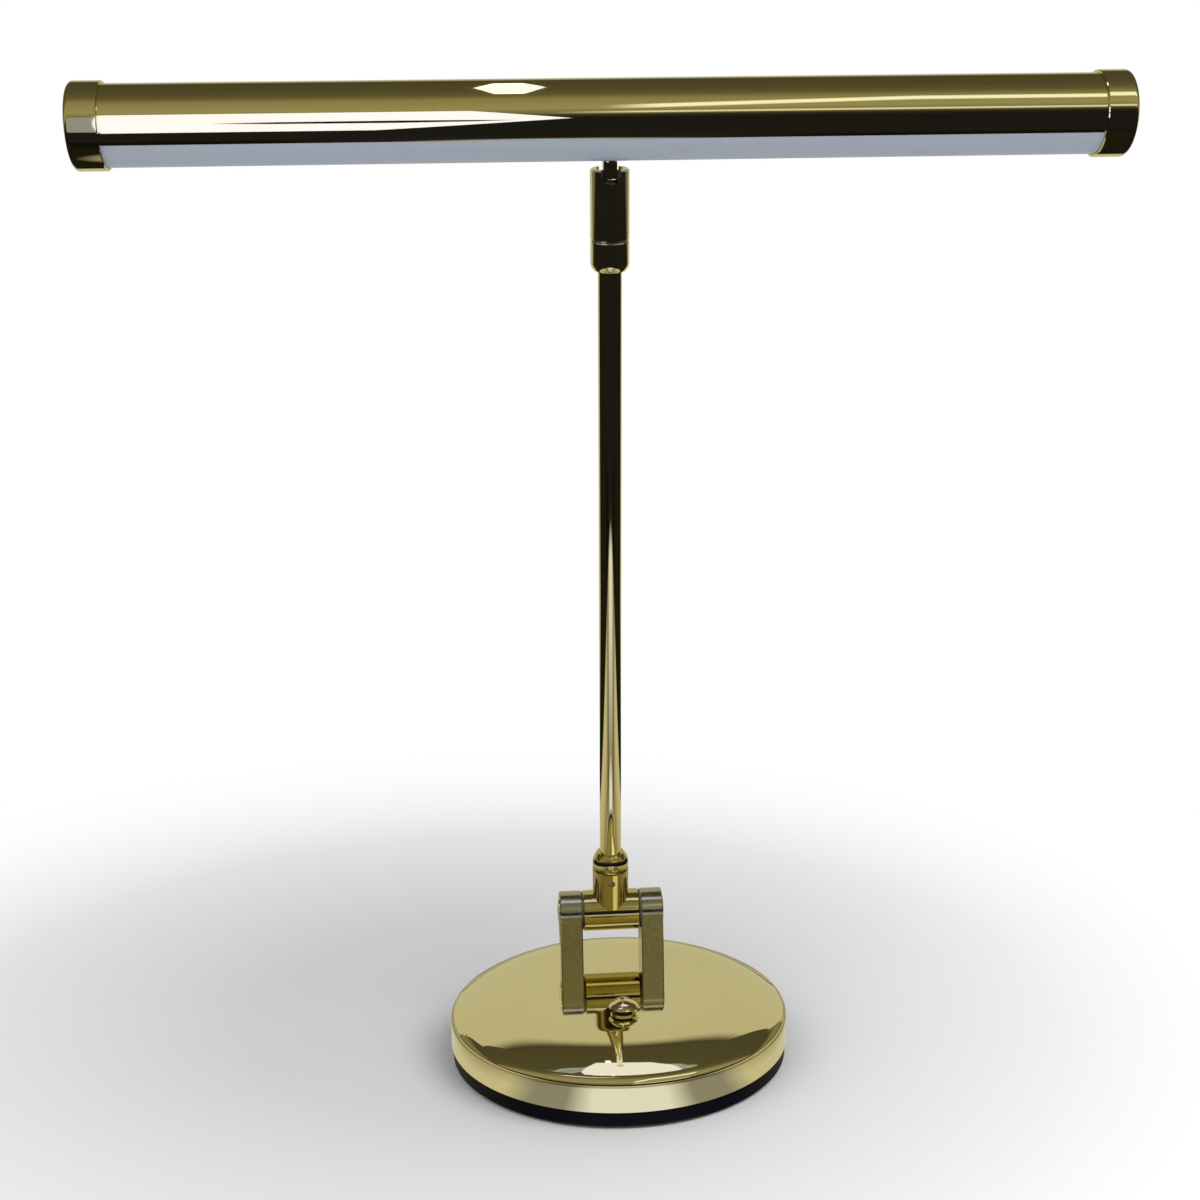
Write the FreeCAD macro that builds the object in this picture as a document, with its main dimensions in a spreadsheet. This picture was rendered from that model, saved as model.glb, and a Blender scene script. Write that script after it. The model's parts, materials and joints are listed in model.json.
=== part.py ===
"""Piano lamp: round weighted base, hinged leaning stem and a long swivelling tube shade.

Millimetres. The origin is the centre of the base on the table, +Z is up, +X runs along the
shade to the right and -Y is the front, where the push button is. The arm leans forward, so
its pieces are drawn upright about the hinge axis and then turned by the lean.
"""
import FreeCAD, Part
import math
import os
import Sketcher

V = FreeCAD.Vector
doc = FreeCAD.newDocument("PianoLamp")
dims = doc.addObject("Spreadsheet::Sheet", "dims")

DRIVING = [
    ("base_radius", 70, "outer radius of the spun brass base"),
    ("base_height", 29, "height of the flat top of the base"),
    ("side_top", 17, "height where the straight side ends"),
    ("edge_inset", 2.5, "how far the edge rounding comes in"),
    ("edge_rise", 4.3, "how far the edge rounding rises"),
    ("crown_radius", 42, "radius of the flat part of the top"),
    ("shell_wall", 1.2, "sheet thickness of the brass base"),
    ("cover_height", 7.2, "height of the black cover's band"),
    ("cover_inset", 0.7, "step from the brass side to the black band"),
    ("cover_floor", 1.8, "floor thickness of the cover"),
    ("pad_thick", 1.6, "thickness of the felt pad"),
    ("pad_proud", 0.6, "how far the felt stands below the cover"),
    ("band_wide", 3.2, "width of the cover's rim outside the felt"),
    ("weight_gap", 8, "side room between shell and ballast"),
    ("weight_bottom", 8.5, "height of the underside of the ballast"),
    ("weight_side", 16, "height of the ballast's outer edge"),
    ("hinge_y", 35, "hinge axis behind the centre of the base"),
    ("hinge_rise", 19.4, "hinge axis above the top of the base"),
    ("lean", 12, "forward lean of the arm in degrees"),
    ("barrel_radius", 8.75, "radius of the hinge barrel and the ears' round tops"),
    ("ear_gap", 25.5, "distance between the two ears"),
    ("ear_wide", 9.5, "width of one ear"),
    ("washer_thick", 0.5, "thickness of the friction washers"),
    ("stub_radius", 3.5, "radius of the hinge stubs"),
    ("stub_reach", 8, "how far a stub goes into the barrel"),
    ("collar_radius", 7.7, "radius of the collar on the barrel"),
    ("collar_top", 21.5, "top of the collar above the hinge axis"),
    ("ring_high", 8, "height of the domed ring on the collar"),
    ("grub_up", 17.5, "grub screw above the hinge axis"),
    ("stem_radius", 4.5, "outer radius of the stem tube"),
    ("stem_wall", 0.8, "wall of the stem tube"),
    ("stem_seat", 9.2, "bottom of the stem tube above the hinge axis"),
    ("arm_length", 334, "hinge axis to shade axis"),
    ("sleeve_radius", 7.25, "radius of the swivel sleeve"),
    ("sleeve_low", 11, "length of the lower, fixed sleeve"),
    ("fork_long", 25.8, "length of the upper, turning sleeve"),
    ("swivel_washer_thick", 0.4, "thickness of the swivel washer"),
    ("fork_wall", 1.85, "wall of the fork around its cavity"),
    ("fork_floor", 4.9, "thickness of the fork's floor"),
    ("notch_wide", 7.2, "width of the notch for the tongue"),
    ("notch_deep", 5.3, "depth of the notch below the rim"),
    ("pin_drop", 3.2, "tilt pin below the rim of the fork"),
    ("pin_radius", 1.5, "radius of the tilt pin"),
    ("tongue_thick", 5, "thickness of the tongue"),
    ("tongue_radius", 3.1, "round end of the tongue"),
    ("tube_radius", 14.5, "outer radius of the shade tube"),
    ("tube_wall", 0.9, "wall of the shade tube"),
    ("shade_long", 380, "length over the two end caps"),
    ("cap_long", 11.5, "length of an end cap"),
    ("cap_wall", 0.95, "wall of an end cap's skirt"),
    ("cap_end", 1.6, "thickness of an end cap's face"),
    ("cap_round", 1.6, "rounding of an end cap's outer edge"),
    ("opening_half", 70, "half angle of the tube's opening in degrees"),
    ("diffuser_wall", 1.8, "wall of the opal diffuser"),
    ("carrier_up", 1.5, "underside of the LED carrier above the tube axis"),
    ("carrier_thick", 2, "thickness of the carrier's web"),
    ("board_thick", 1.2, "thickness of the LED board"),
    ("board_wide", 12, "width of the LED board"),
    ("led_pitch", 10, "distance between LED chips"),
    ("led_long", 3.5, "length of an LED chip"),
    ("led_wide", 2.8, "width of an LED chip"),
    ("led_high", 0.7, "height of an LED chip"),
    ("stud_radius", 2.5, "radius of the neck stud"),
    ("button_y", -28, "button in front of the centre of the base"),
    ("button_radius", 6, "radius of the button's dome"),
    ("button_dome", 3.2, "height of the dome above its rim"),
    ("button_gap", 1.9, "button rim above the top of the base"),
    ("button_travel", 1.2, "travel of the button"),
    ("button_stem", 2.5, "radius of the button's stem"),
    ("bush_radius", 4.6, "radius of the button bush"),
    ("flange_radius", 5.2, "radius of the bush's flange"),
    ("flange_thick", 0.6, "thickness of the bush's flange"),
    ("bush_long", 7, "length of the bush below the top of the base"),
    ("bush_well", 4, "depth of the well in the bush"),
    ("sleeve_skin", 0.8, "wall of the soft return sleeve"),
    ("switch_high", 4, "height of the push switch"),
    ("board_half", 22, "half width of the driver board"),
    ("board_front", 16, "driver board in front of the button"),
    ("board_back", 13, "driver board behind the button"),
    ("board_room", 2, "room around the driver board in the ballast"),
    ("inlet_height", 12.2, "height of the power inlet"),
    ("inlet_radius", 4.4, "radius of the power inlet's body"),
    ("lip_high", 1.2, "height of the cover's lip inside the shell"),
    ("carrier_leg", 6, "top of the carrier's legs above the tube axis"),
    ("plug_radius", 2.75, "bore of the power inlet"),
    ("running", 0.05, "radial clearance of pins and shafts"),
    ("play", 0.2, "end play between pieces that turn on each other"),
]


class Size:
    """A length that knows its value and the sheet formula it comes from."""

    def __init__(self, value, formula):
        self.value = float(value)
        self.formula = formula

    def join(self, other, sign, value):
        other = as_size(other)
        return Size(value(self.value, other.value), f"({self.formula} {sign} {other.formula})")

    def __add__(self, other):
        return self.join(other, "+", lambda a, b: a + b)

    def __radd__(self, other):
        return as_size(other) + self

    def __sub__(self, other):
        return self.join(other, "-", lambda a, b: a - b)

    def __rsub__(self, other):
        return as_size(other) - self

    def __mul__(self, other):
        return self.join(other, "*", lambda a, b: a * b)

    def __rmul__(self, other):
        return as_size(other) * self

    def __truediv__(self, other):
        return self.join(other, "/", lambda a, b: a / b)

    def __neg__(self):
        return Size(-self.value, f"(0 - {self.formula})")

    def root(self):
        return Size(math.sqrt(self.value), f"sqrt({self.formula})")


def as_size(item):
    return item if isinstance(item, Size) else Size(item, repr(float(item)))


def cos_of(angle):
    return Size(math.cos(math.radians(angle.value)), f"cos({angle.formula} * 1 deg)")


def sin_of(angle):
    return Size(math.sin(math.radians(angle.value)), f"sin({angle.formula} * 1 deg)")


class Sheet:
    """The driving dimensions by name."""


d = Sheet()
for row, (name, number, note) in enumerate(DRIVING, start=1):
    dims.set(f"A{row}", name)
    dims.set(f"B{row}", str(number))
    dims.set(f"C{row}", note)
    dims.setAlias(f"B{row}", name)
    setattr(d, name, Size(number, f"dims.{name}"))
doc.recompute()

ZERO = as_size(0)
parts = {}

# Levels and radii that more than one piece uses
hinge_z = d.base_height + d.hinge_rise
top_inner = d.base_height - d.shell_wall
crease_radius = d.base_radius - d.edge_inset
crease_z = d.side_top + d.edge_rise
edge_round = (d.edge_inset * d.edge_inset + d.edge_rise * d.edge_rise) / (2 * d.edge_inset)
crown_run = crease_radius - d.crown_radius
crown_drop = d.base_height - crease_z
crown_round = (crown_run * crown_run + crown_drop * crown_drop) / (2 * crown_drop)
cover_radius = d.base_radius - d.cover_inset
pad_top = d.pad_thick
cover_bottom = d.pad_proud
floor_top = pad_top + d.cover_floor
weight_radius = d.base_radius - d.weight_gap
ear_inner = d.ear_gap / 2
ear_outer = ear_inner + d.ear_wide
ear_middle = ear_inner + d.ear_wide / 2
barrel_half = ear_inner - d.washer_thick - d.play
barrel_bore = d.stub_radius + d.running
ring_top = d.collar_top + d.ring_high
tube_inner = d.tube_radius - d.tube_wall
cap_inner = d.tube_radius + d.running
cap_radius = cap_inner + d.cap_wall
shade_half = d.shade_long / 2
tube_half = shade_half - d.cap_end
rim = d.arm_length - d.tube_radius - 2.6
fork_low = rim - d.fork_long
sleeve_top = fork_low - d.swivel_washer_thick - d.play / 2
sleeve_bottom = sleeve_top - d.sleeve_low
stem_top = sleeve_top - 2.5
cavity_radius = d.sleeve_radius - d.fork_wall
cavity_low = fork_low + d.fork_floor
pin_up = rim - d.pin_drop
spindle_radius = d.stem_radius - d.stem_wall
diffuser_radius = d.tube_radius - 0.1
carrier_low = d.arm_length + d.carrier_up
carrier_top = carrier_low + d.carrier_thick
board_low = carrier_low - d.board_thick
board_top_z = as_size(15)
button_rim = d.base_height + d.button_gap
bush_low = d.base_height - d.bush_long
clip_top = bush_low - d.play
pocket_roof = d.base_height - 5
screw_radius = as_size(1.5)
ear_screw_out = d.barrel_radius - 3.25


def plane_of(body, role):
    return [item for item in body.Origin.OriginFeatures if item.Role == role][0]


def new_body(name):
    body = doc.addObject("PartDesign::Body", name)
    body.Label = name
    parts[name] = body
    return body


def new_sketch(body, role, name):
    sketch = body.newObject("Sketcher::SketchObject", name)
    sketch.AttachmentSupport = [(plane_of(body, role), "")]
    sketch.MapMode = "FlatFace"
    return sketch


def pin_point(sketch, edge, end, x, y):
    """Ties a point of the sketch to its two formulas."""
    if x.value == 0:
        sketch.addConstraint(Sketcher.Constraint("PointOnObject", edge, end, -2))
    else:
        index = sketch.addConstraint(Sketcher.Constraint("DistanceX", -1, 1, edge, end, x.value))
        sketch.setExpression(f"Constraints[{index}]", x.formula)
    if y.value == 0:
        sketch.addConstraint(Sketcher.Constraint("PointOnObject", edge, end, -1))
    else:
        index = sketch.addConstraint(Sketcher.Constraint("DistanceY", -1, 1, edge, end, y.value))
        sketch.setExpression(f"Constraints[{index}]", y.formula)


def bulge_of(start, end, radius, side):
    """The middle of the shorter arc from start to end; side 1 bends it anticlockwise."""
    middle = (start + end) * 0.5
    chord = end - start
    half = chord.Length / 2
    away = math.sqrt(max(radius * radius - half * half, 0))
    normal = V(-chord.y, chord.x, 0).normalize() * side
    return middle + normal * (away - radius)


def add_arc(sketch, start, through, end):
    """Adds an arc, anticlockwise, and returns its edge and which of its ends come first and last."""
    turn = (through - start).cross(end - start).z
    if turn > 0:
        return (sketch.addGeometry(Part.Arc(start, through, end), False), 1, 2)
    return (sketch.addGeometry(Part.Arc(end, through, start), False), 2, 1)


def draw_outline(sketch, points, arcs=None):
    """A closed outline of straight edges and arcs; arcs maps an edge to its radius and side."""
    arcs = arcs or {}
    points = [(as_size(x), as_size(y)) for x, y in points]
    count = len(points)
    first = sketch.GeometryCount
    ends = []
    for i in range(count):
        start = V(points[i][0].value, points[i][1].value, 0)
        end = V(points[(i + 1) % count][0].value, points[(i + 1) % count][1].value, 0)
        if i in arcs:
            radius, side = arcs[i]
            ends.append(add_arc(sketch, start, bulge_of(start, end, as_size(radius).value, side), end))
        else:
            edge = sketch.addGeometry(Part.LineSegment(start, end), False)
            ends.append((edge, 1, 2))
    for i in range(count):
        after = ends[(i + 1) % count]
        sketch.addConstraint(Sketcher.Constraint("Coincident", ends[i][0], ends[i][2], after[0], after[1]))
    for i in range(count):
        pin_point(sketch, ends[i][0], ends[i][1], *points[i])
    for i, (radius, side) in arcs.items():
        radius = as_size(radius)
        start, end = points[i], points[(i + 1) % count]
        half = math.hypot(end[0].value - start[0].value, end[1].value - start[1].value) / 2
        if abs(half - radius.value) < 1e-6:
            # A half circle on a level chord: its centre is held at the chord's height
            sketch.addConstraint(Sketcher.Constraint("Horizontal", first + i, 3, ends[i][0], ends[i][1]))
        else:
            index = sketch.addConstraint(Sketcher.Constraint("Radius", first + i, radius.value))
            sketch.setExpression(f"Constraints[{index}]", radius.formula)


def draw_circle(sketch, x, y, radius):
    x, y, radius = as_size(x), as_size(y), as_size(radius)
    edge = sketch.addGeometry(Part.Circle(V(x.value, y.value, 0), V(0, 0, 1), radius.value), False)
    index = sketch.addConstraint(Sketcher.Constraint("Radius", edge, radius.value))
    sketch.setExpression(f"Constraints[{index}]", radius.formula)
    pin_point(sketch, edge, 3, x, y)


def revolve(body, role, points, arcs=None, axis="V_Axis", cut=False):
    """Turns an outline about an axis of its sketch, to add material or to cut it away."""
    sketch = new_sketch(body, role, body.Name + "_profile")
    draw_outline(sketch, points, arcs)
    kind = "PartDesign::Groove" if cut else "PartDesign::Revolution"
    turned = body.newObject(kind, body.Name + "_turned")
    turned.Profile = sketch
    turned.ReferenceAxis = (sketch, [axis])
    turned.Angle = 360
    return turned


def pad(body, role, length, outlines=(), circles=(), both=False, reverse=False):
    """Pads outlines and circles off an origin plane, to one side or half to each."""
    sketch = new_sketch(body, role, body.Name + "_section")
    for points, arcs in outlines:
        draw_outline(sketch, points, arcs)
    for circle in circles:
        draw_circle(sketch, *circle)
    length = as_size(length)
    raised = body.newObject("PartDesign::Pad", body.Name + "_pad")
    raised.Profile = sketch
    raised.Length = length.value
    raised.setExpression("Length", length.formula)
    if both:
        raised.SideType = "Symmetric"
    raised.Reversed = reverse
    return raised


def pocket(body, role, outlines=(), circles=(), length=None, start=None, both=False, reverse=True):
    """Cuts outlines and circles, through all or for a length, from a plane moved by start."""
    sketch = new_sketch(body, role, body.Name + "_cutout")
    for points, arcs in outlines:
        draw_outline(sketch, points, arcs)
    for circle in circles:
        draw_circle(sketch, *circle)
    if start is not None:
        sketch.AttachmentOffset = FreeCAD.Placement(V(0, 0, start.value), FreeCAD.Rotation())
        sketch.setExpression(".AttachmentOffset.Base.z", start.formula)
    doc.recompute()
    before = body.Shape.Volume
    taken = body.newObject("PartDesign::Pocket", body.Name + "_pocket")
    taken.Profile = sketch
    if length is None:
        taken.Type = "ThroughAll"
    else:
        length = as_size(length)
        taken.Length = length.value
        taken.setExpression("Length", length.formula)
    if both:
        taken.SideType = "Symmetric"
    taken.Reversed = reverse
    doc.recompute()
    if body.Shape.Volume > before - 1e-6:
        raise RuntimeError(f"{taken.Label} removed nothing")
    return taken


def box_outline(x_low, x_high, y_low, y_high):
    return ([(x_low, y_low), (x_high, y_low), (x_high, y_high), (x_low, y_high)], None)


def put_on_arm(item, up=None):
    """Sets a piece at the hinge axis, leaning with the arm, and moved up along it."""
    item.Placement = FreeCAD.Placement(
        V(0, d.hinge_y.value, hinge_z.value), FreeCAD.Rotation(V(1, 0, 0), d.lean.value)
    )
    y, z = d.hinge_y, hinge_z
    if up is not None:
        y = y - up * sin_of(d.lean)
        z = z + up * cos_of(d.lean)
    item.setExpression(".Placement.Base.y", y.formula)
    item.setExpression(".Placement.Base.z", z.formula)
    item.setExpression(".Placement.Rotation.Angle", f"{d.lean.formula} * 1 deg")


def set_at(item, x, y, z, turn=None):
    """Places a primitive by three formulas."""
    x, y, z = as_size(x), as_size(y), as_size(z)
    item.Placement = FreeCAD.Placement(V(x.value, y.value, z.value), turn or FreeCAD.Rotation())
    item.setExpression(".Placement.Base.x", x.formula)
    item.setExpression(".Placement.Base.y", y.formula)
    item.setExpression(".Placement.Base.z", z.formula)


def rod(name, radius, length, x, y, z, turn=None):
    """A plain cylinder from a point, upward unless it is turned."""
    radius, length = as_size(radius), as_size(length)
    item = doc.addObject("Part::Cylinder", name)
    item.Radius = radius.value
    item.setExpression("Radius", radius.formula)
    item.Height = length.value
    item.setExpression("Height", length.formula)
    set_at(item, x, y, z, turn)
    return item


def block(name, size, corner):
    """A plain box from its lowest corner."""
    item = doc.addObject("Part::Box", name)
    for key, length in zip(("Length", "Width", "Height"), size):
        length = as_size(length)
        setattr(item, key, length.value)
        item.setExpression(key, length.formula)
    set_at(item, *corner)
    return item


def hexagon(name, across, height, x, y, z):
    """A six-sided prism, by its width across flats."""
    across, height = as_size(across), as_size(height)
    item = doc.addObject("Part::Prism", name)
    item.Polygon = 6
    corner = across / math.sqrt(3)
    item.Circumradius = corner.value
    item.setExpression("Circumradius", corner.formula)
    item.Height = height.value
    item.setExpression("Height", height.formula)
    set_at(item, x, y, z)
    return item


def cut(name, base, tool):
    item = doc.addObject("Part::Cut", name)
    item.Base = base
    item.Tool = tool
    return item


def fuse(name, pieces):
    item = doc.addObject("Part::MultiFuse", name)
    item.Shapes = pieces
    return item


def group(name, pieces):
    """Several equal solids kept as one named sub-part."""
    item = doc.addObject("Part::Compound", name)
    item.Label = name
    item.Links = pieces
    parts[name] = item
    return item


def cap_screw(name, x, y, z, head, head_high, shank, long, socket):
    """An upright screw whose head is below its shank, with a socket in the head."""
    body = fuse(name + "_body", [
        rod(name + "_head", head, head_high, x, y, z),
        rod(name + "_shank", shank, long, x, y, as_size(z) + head_high),
    ])
    return cut(name, body, hexagon(name + "_socket", socket, as_size(head_high) * 0.6, x, y, z))


# Base: felt, cover, ballast and spun shell

def make_felt_pad():
    body = new_body("felt_pad")
    pad(body, "XY_Plane", d.pad_thick, circles=[(ZERO, ZERO, cover_radius - d.band_wide)])


def make_bottom_cover():
    body = new_body("bottom_cover")
    recess = cover_radius - d.band_wide + 0.1
    spigot = d.base_radius - d.shell_wall - 0.1
    lip = d.cover_height + d.lip_high
    bevel = as_size(0.8)
    revolve(body, "XZ_Plane", [
        (ZERO, pad_top), (recess, pad_top), (recess, cover_bottom),
        (cover_radius - bevel, cover_bottom), (cover_radius, cover_bottom + bevel),
        (cover_radius, d.cover_height), (spigot, d.cover_height), (spigot, lip),
        (spigot - 2.6, lip), (spigot - 2.6, floor_top), (ZERO, floor_top),
    ])
    boss = pad(body, "XY_Plane", d.weight_bottom, circles=[
        (x, y, 4) for x, y in cover_screw_places()
    ] + [(x, y, 2.5) for x, y in board_pillar_places()])
    boss.setExpression("Length", (d.weight_bottom - pad_top).formula)
    boss.Profile[0].AttachmentOffset = FreeCAD.Placement(V(0, 0, pad_top.value), FreeCAD.Rotation())
    boss.Profile[0].setExpression(".AttachmentOffset.Base.z", pad_top.formula)
    pillar = pad(body, "XY_Plane", board_top_z - 1.6 - pad_top,
                 circles=[(x, y, 2.5) for x, y in board_pillar_places()])
    pillar.Profile[0].AttachmentOffset = FreeCAD.Placement(V(0, 0, pad_top.value), FreeCAD.Rotation())
    pillar.Profile[0].setExpression(".AttachmentOffset.Base.z", pad_top.formula)
    inlet_low = d.inlet_height - d.inlet_radius - 0.1
    rest = pad(body, "XY_Plane", inlet_low - pad_top,
               outlines=[box_outline(-d.inlet_radius, d.inlet_radius, d.base_radius - 13, d.base_radius - 5.5)])
    rest.Profile[0].AttachmentOffset = FreeCAD.Placement(V(0, 0, pad_top.value), FreeCAD.Rotation())
    rest.Profile[0].setExpression(".AttachmentOffset.Base.z", pad_top.formula)
    pocket(body, "XY_Plane", circles=[(x, y, 1.6) for x, y in cover_screw_places()])
    pocket(body, "XY_Plane", circles=[(x, y, 2.95) for x, y in cover_screw_places()],
           length=pad_top + 1.7)
    # Room in the lip for the nose of the power inlet
    room = d.inlet_radius + 0.2
    pocket(body, "XY_Plane", outlines=[box_outline(-room, room, d.base_radius - 5.4, d.base_radius)],
           length=as_size(4), start=inlet_low)


def cover_screw_places():
    out = weight_radius - 8
    places = []
    for angle in (30, 150, 270):
        turn = math.radians(angle)
        places.append((out * round(math.cos(turn), 9), out * round(math.sin(turn), 9)))
    return places


def board_pillar_places():
    return [(as_size(side * 18), d.button_y - 12) for side in (-1, 1)]


def make_cover_screws():
    group("cover_screws", [
        cap_screw(f"cover_screw_{i}", x, y, pad_top + 0.1, 2.75, 1.6, 1.45, 11, 2)
        for i, (x, y) in enumerate(cover_screw_places())
    ])


def shell_outline(inset):
    """Half section of the base shell, moved inward by inset."""
    side = d.base_radius - inset
    top = d.base_height - inset
    knee_x = crease_radius - inset * 0.75
    knee_z = crease_z - inset * 0.66
    low = d.cover_height
    run = side - knee_x
    rise = knee_z - d.side_top
    round_edge = (run * run + rise * rise) / (2 * run)
    over = knee_x - d.crown_radius
    drop = top - knee_z
    round_crown = (over * over + drop * drop) / (2 * drop)
    points = [(ZERO, low), (side, low), (side, d.side_top), (knee_x, knee_z), (d.crown_radius, top), (ZERO, top)]
    return points, {2: (round_edge, 1), 3: (round_crown, 1)}


def ear_screw_places():
    return [(side * ear_middle, d.hinge_y + way * ear_screw_out) for side in (-1, 1) for way in (-1, 1)]


def make_base_shell():
    body = new_body("base_shell")
    points, arcs = shell_outline(ZERO)
    revolve(body, "XZ_Plane", points, arcs)
    doc.recompute()
    full = body.Shape.Volume
    points, arcs = shell_outline(d.shell_wall)
    revolve(body, "XZ_Plane", points, arcs, cut=True)
    doc.recompute()
    if body.Shape.Volume > full / 2:
        raise RuntimeError("the base shell was not hollowed")
    wire_hole = (-ear_middle, d.hinge_y, 1.8)
    pocket(body, "XY_Plane", circles=[(ZERO, d.button_y, d.bush_radius + d.running), wire_hole]
           + [(x, y, 1.6) for x, y in ear_screw_places()])
    pocket(body, "XZ_Plane", circles=[(ZERO, d.inlet_height, 4)], reverse=False)


def make_base_weight():
    body = new_body("base_weight")
    revolve(body, "XZ_Plane", [
        (ZERO, d.weight_bottom), (weight_radius, d.weight_bottom), (weight_radius, d.weight_side),
        (d.crown_radius - 2, top_inner), (ZERO, top_inner),
    ])
    side = d.board_half + d.board_room + 1
    front = d.button_y - d.board_front - d.board_room
    back = d.button_y + d.board_back + d.board_room + 1
    pocket(body, "XY_Plane", outlines=[box_outline(-side, side, front, back)], length=pocket_roof)
    pocket(body, "XY_Plane", circles=[(ZERO, d.button_y, 8)])
    pocket(body, "XY_Plane", outlines=[box_outline(-6, 6, weight_radius - 11, weight_radius + 2)])
    wire_hole = (-ear_middle, d.hinge_y, 1.8)
    pocket(body, "XY_Plane", circles=[wire_hole] + [(x, y, 1.6) for x, y in ear_screw_places()])
    pocket(body, "XY_Plane", circles=[(x, y, 2.8) for x, y in ear_screw_places()], length=15)
    pocket(body, "XY_Plane", circles=[(x, y, 1.5) for x, y in cover_screw_places()], length=as_size(15.5))


def make_button_bush():
    body = new_body("button_bush")
    bore = d.button_stem + d.running
    well = as_size(3.7)
    revolve(body, "XZ_Plane", [
        (bore, bush_low), (d.bush_radius, bush_low), (d.bush_radius, d.base_height),
        (d.flange_radius, d.base_height), (d.flange_radius, d.base_height + d.flange_thick),
        (well, d.base_height + d.flange_thick), (well, d.base_height - d.bush_well), (bore, d.base_height - d.bush_well),
    ])
    set_at(body, 0, d.button_y, 0)


def make_bush_nut():
    nut = hexagon("bush_nut_blank", 12, 2, ZERO, d.button_y, top_inner - 2)
    item = cut("bush_nut", nut, rod("bush_nut_bore", d.bush_radius, 3, ZERO, d.button_y, top_inner - 2.5))
    item.Label = "bush_nut"
    parts["bush_nut"] = item


def make_return_sleeve():
    """Soft sleeve between the bush and the button that pushes the button back up."""
    body = new_body("return_sleeve")
    inner = d.button_stem + 0.3
    seat = d.base_height - d.bush_well
    waist = inner + d.sleeve_skin / 2
    middle = (seat + button_rim) / 2
    revolve(body, "XZ_Plane", [
        (inner, seat), (inner + d.sleeve_skin, seat), (waist + d.sleeve_skin / 4, middle),
        (inner + d.sleeve_skin, button_rim), (inner, button_rim), (inner, middle),
    ])
    set_at(body, 0, d.button_y, 0)


def make_button():
    body = new_body("button_cap")
    low = board_top_z + d.switch_high + d.button_travel + 0.3
    dome = (d.button_radius * d.button_radius + d.button_dome * d.button_dome) / (2 * d.button_dome)
    revolve(body, "XZ_Plane", [
        (ZERO, low), (d.button_stem, low), (d.button_stem, button_rim), (d.button_radius - 1, button_rim),
        (d.button_radius, button_rim + 0.7), (d.button_radius, button_rim + 0.9),
        (ZERO, button_rim + d.button_dome + 0.9),
    ], {5: (dome, 1)})
    revolve(body, "XZ_Plane", [
        (d.button_stem - 0.5, clip_top - 0.8), (d.button_stem + 1, clip_top - 0.8),
        (d.button_stem + 1, clip_top), (d.button_stem - 0.5, clip_top),
    ], cut=True)
    set_at(body, 0, d.button_y, 0)
    clip = new_body("button_clip")
    revolve(clip, "XZ_Plane", [
        (d.button_stem - 0.5, clip_top - 0.8), (d.button_stem + 1.5, clip_top - 0.8),
        (d.button_stem + 1.5, clip_top), (d.button_stem - 0.5, clip_top),
    ])
    pocket(clip, "XY_Plane", outlines=[box_outline(-1, 1, 0.5, 6)])
    set_at(clip, 0, d.button_y, 0)
    plunger = rod("switch_plunger", 1.7, low - board_top_z - 2, ZERO, d.button_y, board_top_z + 2)
    plunger.Label = "switch_plunger"
    parts["switch_plunger"] = plunger


def make_driver():
    board = new_body("driver_board")
    edge = box_outline(-d.board_half, d.board_half, d.button_y - d.board_front, d.button_y + d.board_back)
    pad(board, "XY_Plane", 1.6, outlines=[edge])
    set_at(board, 0, 0, board_top_z - 1.6)
    tall = pocket_roof - board_top_z - 1
    group("driver_parts", [
        rod("choke", 4.2, 6, 14, d.button_y - 6, board_top_z),
        rod("capacitor", 3.2, tall, -14, d.button_y - 8, board_top_z),
        block("dimmer_chip", (5, 4, 1.5), (8, d.button_y + 4, board_top_z)),
        block("inlet_plug", (7, 4, 5), (-18, d.button_y + 6, board_top_z)),
        block("lamp_plug", (7, 4, 5), (-8.5, d.button_y + 6, board_top_z)),
    ])
    case = block("switch_case", (6, 6, d.switch_high), (-3, d.button_y - 3, board_top_z))
    switch = cut("push_switch", case, rod("switch_well", 1.75, 5, ZERO, d.button_y, board_top_z + 0.5))
    switch.Label = "push_switch"
    parts["push_switch"] = switch


def make_dc_inlet():
    body = new_body("dc_inlet")
    nose_out = d.base_radius - 0.4
    nose_in = d.base_radius - d.shell_wall - 2.2
    back = nose_in - 8
    revolve(body, "XY_Plane", [
        (ZERO, back), (d.inlet_radius, back), (d.inlet_radius, nose_in), (3.9, nose_in), (3.9, nose_out),
        (d.plug_radius, nose_out), (d.plug_radius, nose_out - 9), (1.05, nose_out - 9),
        (1.05, nose_out - 1), (ZERO, nose_out - 1),
    ])
    set_at(body, 0, 0, d.inlet_height)


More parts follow.
